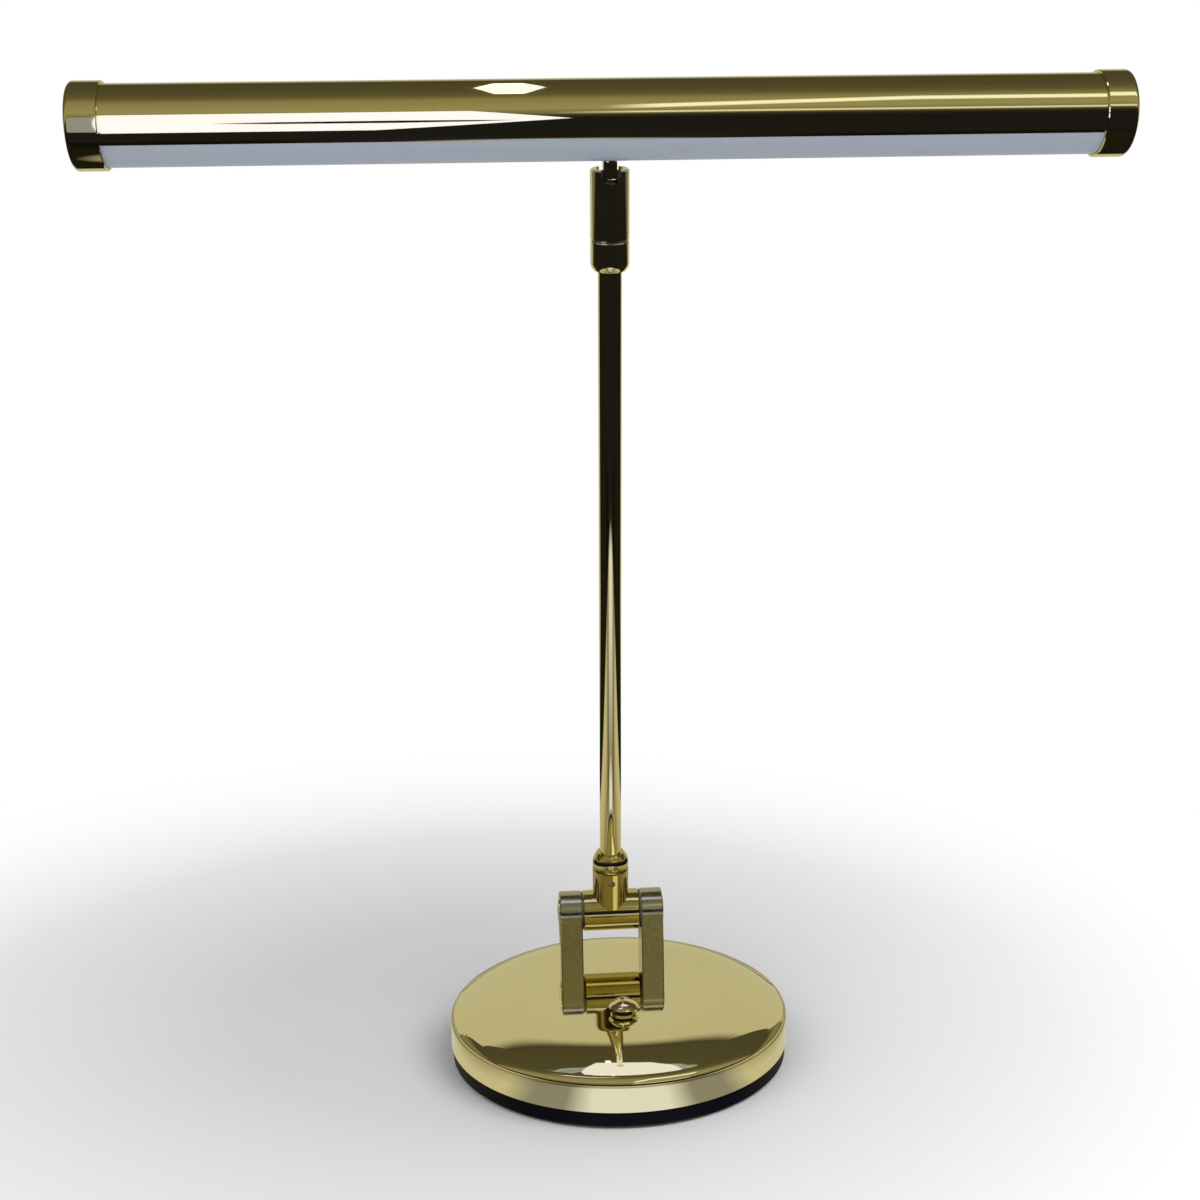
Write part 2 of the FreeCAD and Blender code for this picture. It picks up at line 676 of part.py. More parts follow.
def make_base_wire():
    """Two-core lead from the driver board up into the left ear."""
    body = new_body("lamp_lead")
    path = new_sketch(body, "YZ_Plane", "lead_path")
    run_z = floor_top + 1.6
    front = d.button_y + 6
    bend = as_size(3)
    points = [(front, board_top_z - 1.7), (front, run_z + bend), (front + bend, run_z),
              (d.hinge_y - bend, run_z), (d.hinge_y, run_z + bend), (d.hinge_y, hinge_z - d.stub_radius - 0.2)]
    points = [(as_size(x), as_size(y)) for x, y in points]
    flat = [V(x.value, y.value, 0) for x, y in points]
    edges = []
    for i in range(5):
        if i in (1, 3):
            edges.append(add_arc(path, flat[i], bulge_of(flat[i], flat[i + 1], bend.value, 1), flat[i + 1]))
        else:
            edges.append((path.addGeometry(Part.LineSegment(flat[i], flat[i + 1]), False), 1, 2))
    for i in range(4):
        path.addConstraint(Sketcher.Constraint(
            "Coincident", edges[i][0], edges[i][2], edges[i + 1][0], edges[i + 1][1]))
    for i in range(5):
        pin_point(path, edges[i][0], edges[i][1], *points[i])
    pin_point(path, edges[4][0], edges[4][2], *points[5])
    for i in (1, 3):
        index = path.addConstraint(Sketcher.Constraint("Radius", edges[i][0], bend.value))
    section = new_sketch(body, "XY_Plane", "lead_section")
    section.AttachmentOffset = FreeCAD.Placement(V(0, 0, points[0][1].value), FreeCAD.Rotation())
    section.setExpression(".AttachmentOffset.Base.z", points[0][1].formula)
    draw_circle(section, ZERO, front, 1.3)
    lead = body.newObject("PartDesign::AdditivePipe", "lead_sweep")
    lead.Profile = section
    lead.Spine = (path, [f"Edge{i}" for i in range(1, 6)])
    set_at(body, -ear_middle, 0, 0)


# Hinge on the base

def make_ears():
    for name, side in (("hinge_ear_left", -1), ("hinge_ear_right", 1)):
        body = new_body(name)
        inner, outer = ear_inner * side, ear_outer * side
        pad(body, "YZ_Plane", d.ear_wide, outlines=[([
            (-d.barrel_radius, -d.hinge_rise), (d.barrel_radius, -d.hinge_rise),
            (d.barrel_radius, 0), (-d.barrel_radius, 0),
        ], {2: (d.barrel_radius, 1)})], reverse=side < 0)
        doc.recompute()
        block_feature = body.Tip
        rims = [f"Edge{i + 1}" for i, edge in enumerate(body.Shape.Edges)
                if edge.BoundBox.XLength < 0.01 and edge.BoundBox.ZMax > 1 - d.hinge_rise.value]
        trim = body.newObject("PartDesign::Chamfer", name + "_chamfer")
        trim.Base = (block_feature, rims)
        trim.Size = 0.4
        pocket(body, "YZ_Plane", circles=[(ZERO, ZERO, d.stub_radius)], both=True)
        holes = [((ear_middle - ear_inner) * side, way * ear_screw_out, 1.5) for way in (-1, 1)]
        pocket(body, "XY_Plane", circles=holes, length=as_size(10), start=-d.hinge_rise)
        if side < 0:
            pocket(body, "XY_Plane", circles=[(-(ear_middle - ear_inner), ZERO, 1.8)],
                   length=d.hinge_rise - 1, start=-d.hinge_rise)
        set_at(body, inner, d.hinge_y, hinge_z)


def make_ear_screws():
    group("hinge_screws", [
        cap_screw(f"hinge_screw_{i}", x, y, as_size(12), 2.6, 3, 1.45, d.base_height - 15 + 8, 2.5)
        for i, (x, y) in enumerate(ear_screw_places())
    ])


def make_stubs():
    for name, side in (("hinge_stub_left", -1), ("hinge_stub_right", 1)):
        body = new_body(name)
        inner = barrel_half - d.stub_reach
        head = d.barrel_radius - 2.6
        points = [
            (inner, ZERO), (ear_outer + 1, ZERO), (ear_outer + 0.35, head), (ear_outer, head),
            (ear_outer, d.stub_radius), (inner + 0.4, d.stub_radius), (inner, d.stub_radius - 0.4),
        ]
        revolve(body, "XZ_Plane", [(x * side, z) for x, z in points], axis="H_Axis")
        # Screwdriver slot across the head
        slot = pocket(body, "YZ_Plane", outlines=[box_outline(-0.5, 0.5, -head, head)],
                      length=as_size(2), start=(ear_outer + 0.4) * side, reverse=side > 0)
        if side < 0:
            pocket(body, "YZ_Plane", circles=[(ZERO, ZERO, 2)], length=ear_middle - inner + 1.5,
                   start=-inner, reverse=False)
            pocket(body, "XY_Plane", circles=[(-ear_middle, ZERO, 1.6)], length=as_size(6), reverse=False)
        set_at(body, 0, d.hinge_y, hinge_z)


def make_friction_washers():
    turn = FreeCAD.Rotation(V(0, 1, 0), 90)
    rings = []
    for name, x in (("left", -ear_inner), ("right", ear_inner - d.washer_thick)):
        disc = rod(f"washer_disc_{name}", d.barrel_radius - 0.6, d.washer_thick, x, d.hinge_y, hinge_z, turn)
        hole = rod(f"washer_hole_{name}", d.stub_radius, d.washer_thick + 1, x - 0.5, d.hinge_y, hinge_z, turn)
        rings.append(cut(f"washer_{name}", disc, hole))
    group("friction_washers", rings)


# Arm: knuckle, ring, stem and lower sleeve

def make_knuckle():
    body = new_body("hinge_knuckle")
    revolve(body, "XZ_Plane", [
        (-barrel_half, ZERO), (barrel_half, ZERO), (barrel_half, d.barrel_radius - 0.4),
        (barrel_half - 0.4, d.barrel_radius), (0.4 - barrel_half, d.barrel_radius),
        (-barrel_half, d.barrel_radius - 0.4),
    ], axis="H_Axis")
    pad(body, "XY_Plane", d.collar_top, circles=[(ZERO, ZERO, d.collar_radius)])
    revolve(body, "XZ_Plane", [
        (-barrel_half - 1, ZERO), (barrel_half + 1, ZERO), (barrel_half + 1, barrel_bore),
        (-barrel_half - 1, barrel_bore),
    ], axis="H_Axis", cut=True)
    revolve(body, "XZ_Plane", [
        (ZERO, ZERO), (2.5, ZERO), (2.5, d.stem_seat), (d.stem_radius, d.stem_seat),
        (d.stem_radius, d.collar_top + 1), (ZERO, d.collar_top + 1),
    ], cut=True)
    pocket(body, "XZ_Plane", circles=[(ZERO, d.grub_up, screw_radius)],
           length=d.collar_radius + 1, reverse=False, start=ZERO + d.collar_radius + 1)
    put_on_arm(body)


def make_collar_ring():
    body = new_body("collar_ring")
    bulge = d.collar_radius
    neck = d.stem_radius + 0.9
    high = ring_top - d.collar_top
    foot = high * 0.27
    lower = (foot * foot + 0.6 * 0.6) / (2 * 0.6)
    fall = high - foot
    over = bulge - neck
    upper = (fall * fall + over * over) / (2 * over)
    revolve(body, "XZ_Plane", [
        (d.stem_radius, d.collar_top), (bulge - 0.6, d.collar_top), (bulge, d.collar_top + foot),
        (neck, ring_top), (d.stem_radius, ring_top),
    ], {1: (lower, 1), 2: (upper, 1)})
    put_on_arm(body)


def make_grub_screw():
    turn = FreeCAD.Rotation(V(1, 0, 0), 90)
    body = new_body("grub_screw")
    pad(body, "XZ_Plane", d.collar_radius - d.stem_radius - 0.8, circles=[(ZERO, d.grub_up, screw_radius - d.running)])
    body.Tip.Profile[0].AttachmentOffset = FreeCAD.Placement(V(0, 0, d.stem_radius.value), FreeCAD.Rotation())
    body.Tip.Profile[0].setExpression(".AttachmentOffset.Base.z", d.stem_radius.formula)
    pocket(body, "XZ_Plane", circles=[(ZERO, d.grub_up, 0.8)], length=as_size(3),
           start=d.collar_radius + 1, reverse=False)
    put_on_arm(body)


def make_stem():
    body = new_body("stem_tube")
    revolve(body, "XZ_Plane", [
        (d.stem_radius - d.stem_wall, d.stem_seat), (d.stem_radius, d.stem_seat),
        (d.stem_radius, stem_top), (d.stem_radius - d.stem_wall, stem_top),
    ])
    put_on_arm(body)
    wire = rod("stem_wire", 1.3, cavity_low + 4, 0, 0, 0)
    wire.Label = "stem_wire"
    parts["stem_wire"] = wire
    put_on_arm(wire)


def make_lower_sleeve():
    body = new_body("lower_sleeve")
    taper = as_size(3.2)
    foot = d.stem_radius + 1.3
    run = d.sleeve_radius - foot
    rounding = (run * run + taper * taper) / (2 * run)
    revolve(body, "XZ_Plane", [
        (d.stem_radius, sleeve_bottom), (foot, sleeve_bottom), (d.sleeve_radius, sleeve_bottom + taper),
        (d.sleeve_radius, sleeve_top - 0.3), (d.sleeve_radius - 0.3, sleeve_top),
        (spindle_radius, sleeve_top), (spindle_radius, stem_top), (d.stem_radius, stem_top),
    ], {1: (rounding, 1)})
    put_on_arm(body)


def make_spindle():
    body = new_body("swivel_spindle")
    nut_low = cavity_low + d.play
    revolve(body, "XZ_Plane", [
        (2, stem_top - 14), (spindle_radius, stem_top - 14), (spindle_radius, nut_low),
        (spindle_radius - 0.5, nut_low), (spindle_radius - 0.5, nut_low + 3), (2, nut_low + 3),
    ])
    put_on_arm(body)
    nut = new_body("spindle_nut")
    revolve(nut, "XZ_Plane", [
        (spindle_radius - 0.5, nut_low), (cavity_radius - 0.3, nut_low),
        (cavity_radius - 0.3, nut_low + 2.2), (spindle_radius - 0.5, nut_low + 2.2),
    ])
    pocket(nut, "XY_Plane", outlines=[box_outline(-8, 8, -0.6, 0.6)], length=as_size(1.2),
           start=nut_low + 1.2)
    put_on_arm(nut)
    washer = new_body("swivel_washer")
    revolve(washer, "XZ_Plane", [
        (spindle_radius, sleeve_top), (d.sleeve_radius - 0.5, sleeve_top),
        (d.sleeve_radius - 0.5, sleeve_top + d.swivel_washer_thick),
        (spindle_radius, sleeve_top + d.swivel_washer_thick),
    ])
    put_on_arm(washer)


# Fork: the turning upper sleeve with its notch and pin

def make_fork():
    body = new_body("swivel_fork")
    bore = spindle_radius + d.running
    revolve(body, "XZ_Plane", [
        (bore, fork_low), (d.sleeve_radius - 0.3, fork_low), (d.sleeve_radius, fork_low + 0.3),
        (d.sleeve_radius, rim - 0.6), (d.sleeve_radius - 0.6, rim), (cavity_radius, rim),
        (cavity_radius, cavity_low), (bore, cavity_low),
    ])
    half = d.notch_wide / 2
    low = rim - d.notch_deep
    pocket(body, "XZ_Plane", outlines=[([
        (-half, low + half), (half, low + half), (half, rim + 1), (-half, rim + 1),
    ], {0: (half, 1)})], both=True)
    pocket(body, "YZ_Plane", circles=[(ZERO, pin_up, d.pin_radius)], both=True)
    put_on_arm(body)
    pin = new_body("tilt_pin")
    pad(pin, "YZ_Plane", 2 * (d.sleeve_radius - 0.25), circles=[(ZERO, pin_up, d.pin_radius)], both=True)
    put_on_arm(pin)
    spacers = new_body("tilt_spacers")
    inner = d.tongue_thick / 2 + d.running
    width = as_size(2.6)
    outer = (cavity_radius * cavity_radius - width * width).root() - d.running
    for side in (-1, 1):
        ring = pad(spacers, "YZ_Plane", outer - inner, circles=[(ZERO, pin_up, width), (ZERO, pin_up, d.pin_radius)],
                   reverse=side < 0)
        offset = inner * side
        ring.Profile[0].AttachmentOffset = FreeCAD.Placement(V(0, 0, offset.value), FreeCAD.Rotation())
        ring.Profile[0].setExpression(".AttachmentOffset.Base.z", offset.formula)
    put_on_arm(spacers)


# Head: tongue, tube, diffuser, LEDs and caps

def make_tongue():
    body = new_body("neck_tongue")
    shoulder = d.arm_length - diffuser_radius
    radius = d.tongue_radius
    pad(body, "YZ_Plane", d.tongue_thick, outlines=[([
        (-radius, pin_up), (radius, pin_up), (radius, shoulder - 0.1), (-radius, shoulder - 0.1),
    ], {0: (radius, 1)})], both=True)
    revolve(body, "XZ_Plane", [
        (ZERO, shoulder - 1), (d.stud_radius, shoulder - 1), (d.stud_radius, carrier_top + 4.5),
        (ZERO, carrier_top + 4.5),
    ])
    pocket(body, "YZ_Plane", circles=[(ZERO, pin_up, d.pin_radius + d.running)], both=True)
    put_on_arm(body)
    nut = hexagon("neck_nut_blank", 8, 3, 0, 0, 0)
    item = cut("neck_nut", nut, rod("neck_nut_bore", d.stud_radius, 4, 0, 0, -0.5))
    item.Label = "neck_nut"
    parts["neck_nut"] = item
    put_on_arm(item, carrier_top)


def ring_sector(outer, inner, half_angle, upper):
    """Section of a ring about the shade axis: the upper part, or the lower part, of a tube."""
    across, along = sin_of(half_angle), cos_of(half_angle)
    centre = d.arm_length
    if upper:
        points = [(outer * across, centre - outer * along), (-(outer * across), centre - outer * along),
                  (-(inner * across), centre - inner * along), (inner * across, centre - inner * along)]
        return points, outer, inner
    points = [(-(outer * across), centre - outer * along), (outer * across, centre - outer * along),
              (inner * across, centre - inner * along), (-(inner * across), centre - inner * along)]
    return points, outer, inner


def draw_sector(body, name, outer, inner, half_angle, upper):
    """Sketches a ring sector in the plane square to the shade, as two arcs and two straight edges."""
    sketch = new_sketch(body, "YZ_Plane", name)
    points, big, small = ring_sector(outer, inner, half_angle, upper)
    flat = [V(x.value, y.value, 0) for x, y in points]
    centre = V(0, d.arm_length.value, 0)
    way = 1 if upper else -1
    far = centre + V(0, big.value * way, 0)
    near = centre + V(0, small.value * way, 0)
    ends = [
        add_arc(sketch, flat[0], far, flat[1]),
        (sketch.addGeometry(Part.LineSegment(flat[1], flat[2]), False), 1, 2),
        add_arc(sketch, flat[2], near, flat[3]),
        (sketch.addGeometry(Part.LineSegment(flat[3], flat[0]), False), 1, 2),
    ]
    for i in range(4):
        after = ends[(i + 1) % 4]
        sketch.addConstraint(Sketcher.Constraint("Coincident", ends[i][0], ends[i][2], after[0], after[1]))
    for i, (x, y) in enumerate(points):
        pin_point(sketch, ends[i][0], ends[i][1], x, y)
    for i, radius in ((0, big), (2, small)):
        index = sketch.addConstraint(Sketcher.Constraint("Radius", ends[i][0], radius.value))
        sketch.setExpression(f"Constraints[{index}]", radius.formula)
    return sketch


def pad_sector(body, name, outer, inner, half_angle, upper, half_long):
    sketch = draw_sector(body, name, outer, inner, half_angle, upper)
    raised = body.newObject("PartDesign::Pad", name + "_pad")
    raised.Profile = sketch
    length = half_long * 2
    raised.Length = length.value
    raised.setExpression("Length", length.formula)
    raised.SideType = "Symmetric"
    return raised


def make_shade():
    tube = new_body("shade_tube")
    pad_sector(tube, "tube_section", d.tube_radius, tube_inner, d.opening_half, True, tube_half)
    put_on_arm(tube)
    diffuser = new_body("diffuser")
    inner = diffuser_radius - d.diffuser_wall
    pad_sector(diffuser, "lens_section", diffuser_radius, inner, d.opening_half - 0.5, False, tube_half - 0.2)
    pad_sector(diffuser, "lens_tabs", tube_inner - 0.1, inner, d.opening_half + 8, False, tube_half - 0.2)
    pocket(diffuser, "XY_Plane", circles=[(ZERO, ZERO, d.stud_radius + 0.2)], length=d.arm_length)
    put_on_arm(diffuser)
    carrier = new_body("led_carrier")
    leg_low, leg_high = carrier_low, d.arm_length + d.carrier_leg
    reach = (tube_inner * tube_inner - d.carrier_leg * d.carrier_leg).root() - 0.1
    pad(carrier, "YZ_Plane", (tube_half - 2) * 2, outlines=[([
        (-reach, leg_low), (reach, leg_low), (reach, leg_high), (reach - 1.5, leg_high),
        (reach - 1.5, carrier_top), (1.5 - reach, carrier_top), (1.5 - reach, leg_high), (-reach, leg_high),
    ], None)], both=True)
    pocket(carrier, "XY_Plane", circles=[(ZERO, ZERO, d.stud_radius)])
    put_on_arm(carrier)
    board = new_body("led_board")
    half = d.board_wide / 2
    pad(board, "YZ_Plane", (tube_half - 4) * 2, outlines=[box_outline(-half, half, board_low, carrier_low)],
        both=True)
    pocket(board, "XY_Plane", circles=[(ZERO, ZERO, d.stud_radius + 0.2)])
    put_on_arm(board)


def make_leds():
    """A row of chips under the board, with the neck stud between the middle two."""
    count = int((tube_half.value - 8) / d.led_pitch.value) * 2
    chips = []
    for i in range(count):
        place = (i - (count - 1) / 2) * d.led_pitch
        chips.append(block(f"chip_{i}", (d.led_long, d.led_wide, d.led_high),
                           (place - d.led_long / 2, -(d.led_wide / 2), ZERO)))
    row = group("leds", chips)
    put_on_arm(row, board_low - d.led_high)


def make_end_caps():
    for name, side in (("end_cap_left", -1), ("end_cap_right", 1)):
        body = new_body(name)
        mouth = shade_half - d.cap_long
        face = shade_half - d.cap_end
        rounding = d.cap_round
        points = [
            (face, ZERO), (shade_half, ZERO), (shade_half, cap_radius - rounding),
            (shade_half - rounding, cap_radius), (mouth + 0.3, cap_radius), (mouth, cap_radius - 0.3),
            (mouth, cap_inner), (face, cap_inner),
        ]
        revolve(body, "XZ_Plane", [(x * side, z) for x, z in points], {2: (rounding, side)}, axis="H_Axis")
        put_on_arm(body, d.arm_length)


def check_document():
    """Stops if any object failed or a sub-part's shape isn't sound."""
    doc.recompute()
    faults = [item.Name for item in doc.Objects if "Invalid" in item.State or "Error" in item.State]
    for name, item in parts.items():
        shape = item.Shape
        if shape.isNull() or not shape.isValid() or not shape.Solids:
            faults.append(name)
    if faults:
        raise RuntimeError("failed: " + ", ".join(faults))


def write_parts():
    os.makedirs("parts", exist_ok=True)
    for name, item in parts.items():
        item.Shape.exportStep(f"parts/{name}.step")


def main():
    make_felt_pad()
    make_bottom_cover()
    make_cover_screws()
    make_base_shell()
    make_base_weight()
    make_driver()
    make_dc_inlet()
    make_base_wire()
    make_button_bush()
    make_bush_nut()
    make_return_sleeve()
    make_button()
    make_ears()
    make_ear_screws()
    make_stubs()
    make_friction_washers()
    make_knuckle()
    make_collar_ring()
    make_grub_screw()
    make_stem()
    make_lower_sleeve()
    make_spindle()
    make_fork()
    make_tongue()
    make_shade()
    make_leds()
    make_end_caps()
    check_document()
    write_parts()
    print(len(parts), "sub-parts written")


main()
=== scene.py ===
"""Looks of a piano lamp in polished brass: finishes, small fittings, a plain studio and the camera.

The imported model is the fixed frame. Lengths are metres, +Z is up, +X runs along the shade and
-Y is the front. Each sub-assembly is a class that dresses its own nodes and builds what the
frame leaves to this file.
"""
import json
import logging
import math
from dataclasses import dataclass, field
from enum import Enum

import bpy
from mathutils import Matrix, Vector

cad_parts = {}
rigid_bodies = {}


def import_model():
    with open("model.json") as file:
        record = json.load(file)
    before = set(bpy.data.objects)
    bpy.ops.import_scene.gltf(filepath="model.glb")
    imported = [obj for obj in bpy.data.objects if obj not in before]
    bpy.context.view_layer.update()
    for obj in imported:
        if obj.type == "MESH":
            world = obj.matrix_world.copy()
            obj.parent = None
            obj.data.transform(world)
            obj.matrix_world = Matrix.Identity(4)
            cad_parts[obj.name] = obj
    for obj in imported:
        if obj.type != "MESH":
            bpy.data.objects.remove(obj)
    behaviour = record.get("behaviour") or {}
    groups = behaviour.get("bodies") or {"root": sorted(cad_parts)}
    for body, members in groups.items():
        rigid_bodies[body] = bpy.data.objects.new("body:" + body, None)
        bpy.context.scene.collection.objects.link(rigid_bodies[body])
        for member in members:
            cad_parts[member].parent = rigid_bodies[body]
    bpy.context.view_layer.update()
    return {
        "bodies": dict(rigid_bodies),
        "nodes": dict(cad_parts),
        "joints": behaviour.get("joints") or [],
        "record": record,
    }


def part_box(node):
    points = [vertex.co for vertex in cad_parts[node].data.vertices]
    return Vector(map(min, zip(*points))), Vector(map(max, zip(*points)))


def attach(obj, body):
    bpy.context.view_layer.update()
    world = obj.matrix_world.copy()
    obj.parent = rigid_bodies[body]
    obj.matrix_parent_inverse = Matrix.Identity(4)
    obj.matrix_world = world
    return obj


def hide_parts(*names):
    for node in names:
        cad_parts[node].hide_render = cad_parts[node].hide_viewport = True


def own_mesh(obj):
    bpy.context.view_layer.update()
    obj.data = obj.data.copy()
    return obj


LOG = logging.getLogger("piano_lamp")
MM = 0.001
SMOOTH_ANGLE = math.radians(35)
GRAIN_STRENGTH = 0.35
Colour = tuple[float, float, float]


class Body(Enum):
    """The rigid bodies that the pieces made here ride on."""

    BASE = "base"
    HEAD = "head"


class Shine(Enum):
    """How a metal surface was finished, with its mean roughness."""

    MIRROR = 0.035
    POLISHED = 0.06
    BRUSHED = 0.16
    SATIN = 0.22
    PLAIN = 0.38


# ---------------------------------------------------------------- shader node groups


@dataclass
class GroupBuilder:
    """Builds a shader node group with named sockets."""

    name: str
    group: bpy.types.ShaderNodeTree = field(init=False)

    def __post_init__(self) -> None:
        """Makes the empty group with its input and output nodes."""
        self.group = bpy.data.node_groups.new(self.name, "ShaderNodeTree")
        self.source = self.group.nodes.new("NodeGroupInput")
        self.target = self.group.nodes.new("NodeGroupOutput")

    def socket(self, name: str, way: str, kind: str, default: float | None = None) -> None:
        """Adds a socket.

        Args:
            name: Name of the socket.
            way: INPUT or OUTPUT.
            kind: Socket type, such as NodeSocketFloat.
            default: Default value of an input.
        """
        made = self.group.interface.new_socket(name=name, in_out=way, socket_type=kind)
        if default is not None:
            made.default_value = default

    def node(self, kind: str, **settings: object) -> bpy.types.Node:
        """Adds a node and sets its properties.

        Args:
            kind: Node type.
            **settings: Property names and values.

        Returns:
            The new node.
        """
        made = self.group.nodes.new(kind)
        for key, value in settings.items():
            setattr(made, key, value)
        return made

    def link(self, start: bpy.types.NodeSocket, end: bpy.types.NodeSocket) -> None:
        """Links two sockets."""
        self.group.links.new(start, end)


def polish_marks_group() -> bpy.types.ShaderNodeTree:
    """Builds the faint cloudiness and buffing waviness of hand-polished metal.

    Returns:
        A group with a Roughness value, a Height and a Film mask.
    """
    g = GroupBuilder("polish_marks")
    g.socket("Size", "INPUT", "NodeSocketFloat", 60.0)
    g.socket("Low", "INPUT", "NodeSocketFloat", 0.03)
    g.socket("High", "INPUT", "NodeSocketFloat", 0.08)
    g.socket("Roughness", "OUTPUT", "NodeSocketFloat")
    g.socket("Height", "OUTPUT", "NodeSocketFloat")
    g.socket("Film", "OUTPUT", "NodeSocketFloat")
    place = g.node("ShaderNodeTexCoord")
    cloud = g.node("ShaderNodeTexNoise")
    cloud.inputs["Detail"].default_value = 4.0
    cloud.inputs["Roughness"].default_value = 0.55
    wave = g.node("ShaderNodeTexNoise")
    wave.inputs["Detail"].default_value = 1.0
    wave_size = g.node("ShaderNodeMath", operation="MULTIPLY")
    wave_size.inputs[1].default_value = 0.45
    spread = g.node("ShaderNodeMapRange")
    spread.inputs["From Min"].default_value = 0.3
    spread.inputs["From Max"].default_value = 0.72
    g.link(place.outputs["Object"], cloud.inputs["Vector"])
    g.link(place.outputs["Object"], wave.inputs["Vector"])
    g.link(g.source.outputs["Size"], cloud.inputs["Scale"])
    g.link(g.source.outputs["Size"], wave_size.inputs[0])
    g.link(wave_size.outputs[0], wave.inputs["Scale"])
    g.link(cloud.outputs["Fac"], spread.inputs["Value"])
    g.link(g.source.outputs["Low"], spread.inputs["To Min"])
    g.link(g.source.outputs["High"], spread.inputs["To Max"])
    g.link(spread.outputs["Result"], g.target.inputs["Roughness"])
    g.link(wave.outputs["Fac"], g.target.inputs["Height"])
    g.link(cloud.outputs["Fac"], g.target.inputs["Film"])
    return g.group


def grain_group() -> bpy.types.ShaderNodeTree:
    """Builds a fine random grain for cast, moulded and felted surfaces.

    Returns:
        A group with a Tone between 0 and 1 and a Height.
    """
    g = GroupBuilder("surface_grain")
    g.socket("Size", "INPUT", "NodeSocketFloat", 900.0)
    g.socket("Patch", "INPUT", "NodeSocketFloat", 40.0)
    g.socket("Tone", "OUTPUT", "NodeSocketFloat")
    g.socket("Height", "OUTPUT", "NodeSocketFloat")
    place = g.node("ShaderNodeTexCoord")
    fine = g.node("ShaderNodeTexNoise")
    fine.inputs["Detail"].default_value = 3.0
    patch = g.node("ShaderNodeTexNoise")
    patch.inputs["Detail"].default_value = 5.0
    pits = g.node("ShaderNodeTexVoronoi", feature="F1")
    both = g.node("ShaderNodeMath", operation="MULTIPLY_ADD")
    both.inputs[1].default_value = 0.45
    ease = g.node("ShaderNodeMath", operation="MULTIPLY")
    ease.inputs[1].default_value = 0.55
    g.link(place.outputs["Object"], fine.inputs["Vector"])
    g.link(place.outputs["Object"], patch.inputs["Vector"])
    g.link(place.outputs["Object"], pits.inputs["Vector"])
    g.link(g.source.outputs["Size"], fine.inputs["Scale"])
    g.link(g.source.outputs["Size"], pits.inputs["Scale"])
    g.link(g.source.outputs["Patch"], patch.inputs["Scale"])
    g.link(patch.outputs["Fac"], ease.inputs[0])
    g.link(fine.outputs["Fac"], both.inputs[0])
    g.link(ease.outputs[0], both.inputs[2])
    g.link(both.outputs[0], g.target.inputs["Tone"])
    g.link(pits.outputs["Distance"], g.target.inputs["Height"])
    return g.group


# ---------------------------------------------------------------- finishes


@dataclass(frozen=True)
class Finish:
    """What every finish shares: a name and a colour."""

    name: str
    colour: Colour

    def shell(self) -> tuple[bpy.types.Material, bpy.types.ShaderNodeTree, bpy.types.Node]:
        """Makes the material with a bare Principled shader.

        Returns:
            The material, its node tree and its Principled node.
        """
        material = bpy.data.materials.new(self.name)
        material.use_nodes = True
        tree = material.node_tree
        return material, tree, tree.nodes["Principled BSDF"]

    def place_group(self, tree: bpy.types.ShaderNodeTree, group_name: str,
                    **values: float) -> bpy.types.Node:
        """Places a shared group in the material with its own values."""
        node = tree.nodes.new("ShaderNodeGroup")
        node.node_tree = bpy.data.node_groups[group_name]
        for key, value in values.items():
            node.inputs[key].default_value = value
        return node

    def tone(self, tree: bpy.types.ShaderNodeTree, mask: bpy.types.NodeSocket, low: Colour,
             high: Colour) -> bpy.types.NodeSocket:
        """Mixes two colours by a mask.

        Args:
            tree: The material's node tree.
            mask: Value between 0 and 1.
            low: Colour where the mask is 0.
            high: Colour where the mask is 1.

        Returns:
            The mixed colour's socket.
        """
        mix = tree.nodes.new("ShaderNodeMix")
        mix.data_type = "RGBA"
        mix.inputs["A"].default_value = (*low, 1.0)
        mix.inputs["B"].default_value = (*high, 1.0)
        tree.links.new(mask, mix.inputs["Factor"])
        return mix.outputs["Result"]

    def bump(self, tree: bpy.types.ShaderNodeTree, height: bpy.types.NodeSocket, depth: float,
             strength: float) -> bpy.types.NodeSocket:
        """Turns a height into a normal.

        Args:
            tree: The material's node tree.
            height: Height between 0 and 1.
            depth: What a height of 1 stands for, in metres.
            strength: How much of the bump shows.

        Returns:
            The normal's socket.
        """
        node = tree.nodes.new("ShaderNodeBump")
        node.inputs["Distance"].default_value = depth
        node.inputs["Strength"].default_value = strength
        tree.links.new(height, node.inputs["Height"])
        return node.outputs["Normal"]


@dataclass(frozen=True)
class Metal(Finish):
    """Polished or plain metal with a thin, uneven film and buffing waviness."""

    shine: Shine = Shine.POLISHED
    drift: float = 0.04
    marks: float = 60.0
    wave: float = 0.02
    wave_depth: float = 0.00002

    def build(self) -> bpy.types.Material:
        """Builds the material.

        Returns:
            The finished material.
        """
        material, tree, shader = self.shell()
        low = self.shine.value * 0.7
        high = self.shine.value * 1.5
        group = self.place_group(tree, "polish_marks", Size=self.marks, Low=low, High=high)
        warm = tuple(c * (1.0 - self.drift) for c in self.colour)
        colour = self.tone(tree, group.outputs["Film"], warm, self.colour)
        tree.links.new(colour, shader.inputs["Base Color"])
        tree.links.new(group.outputs["Roughness"], shader.inputs["Roughness"])
        normal = self.bump(tree, group.outputs["Height"], self.wave_depth, self.wave)
        tree.links.new(normal, shader.inputs["Normal"])
        shader.inputs["Metallic"].default_value = 1.0
        return material


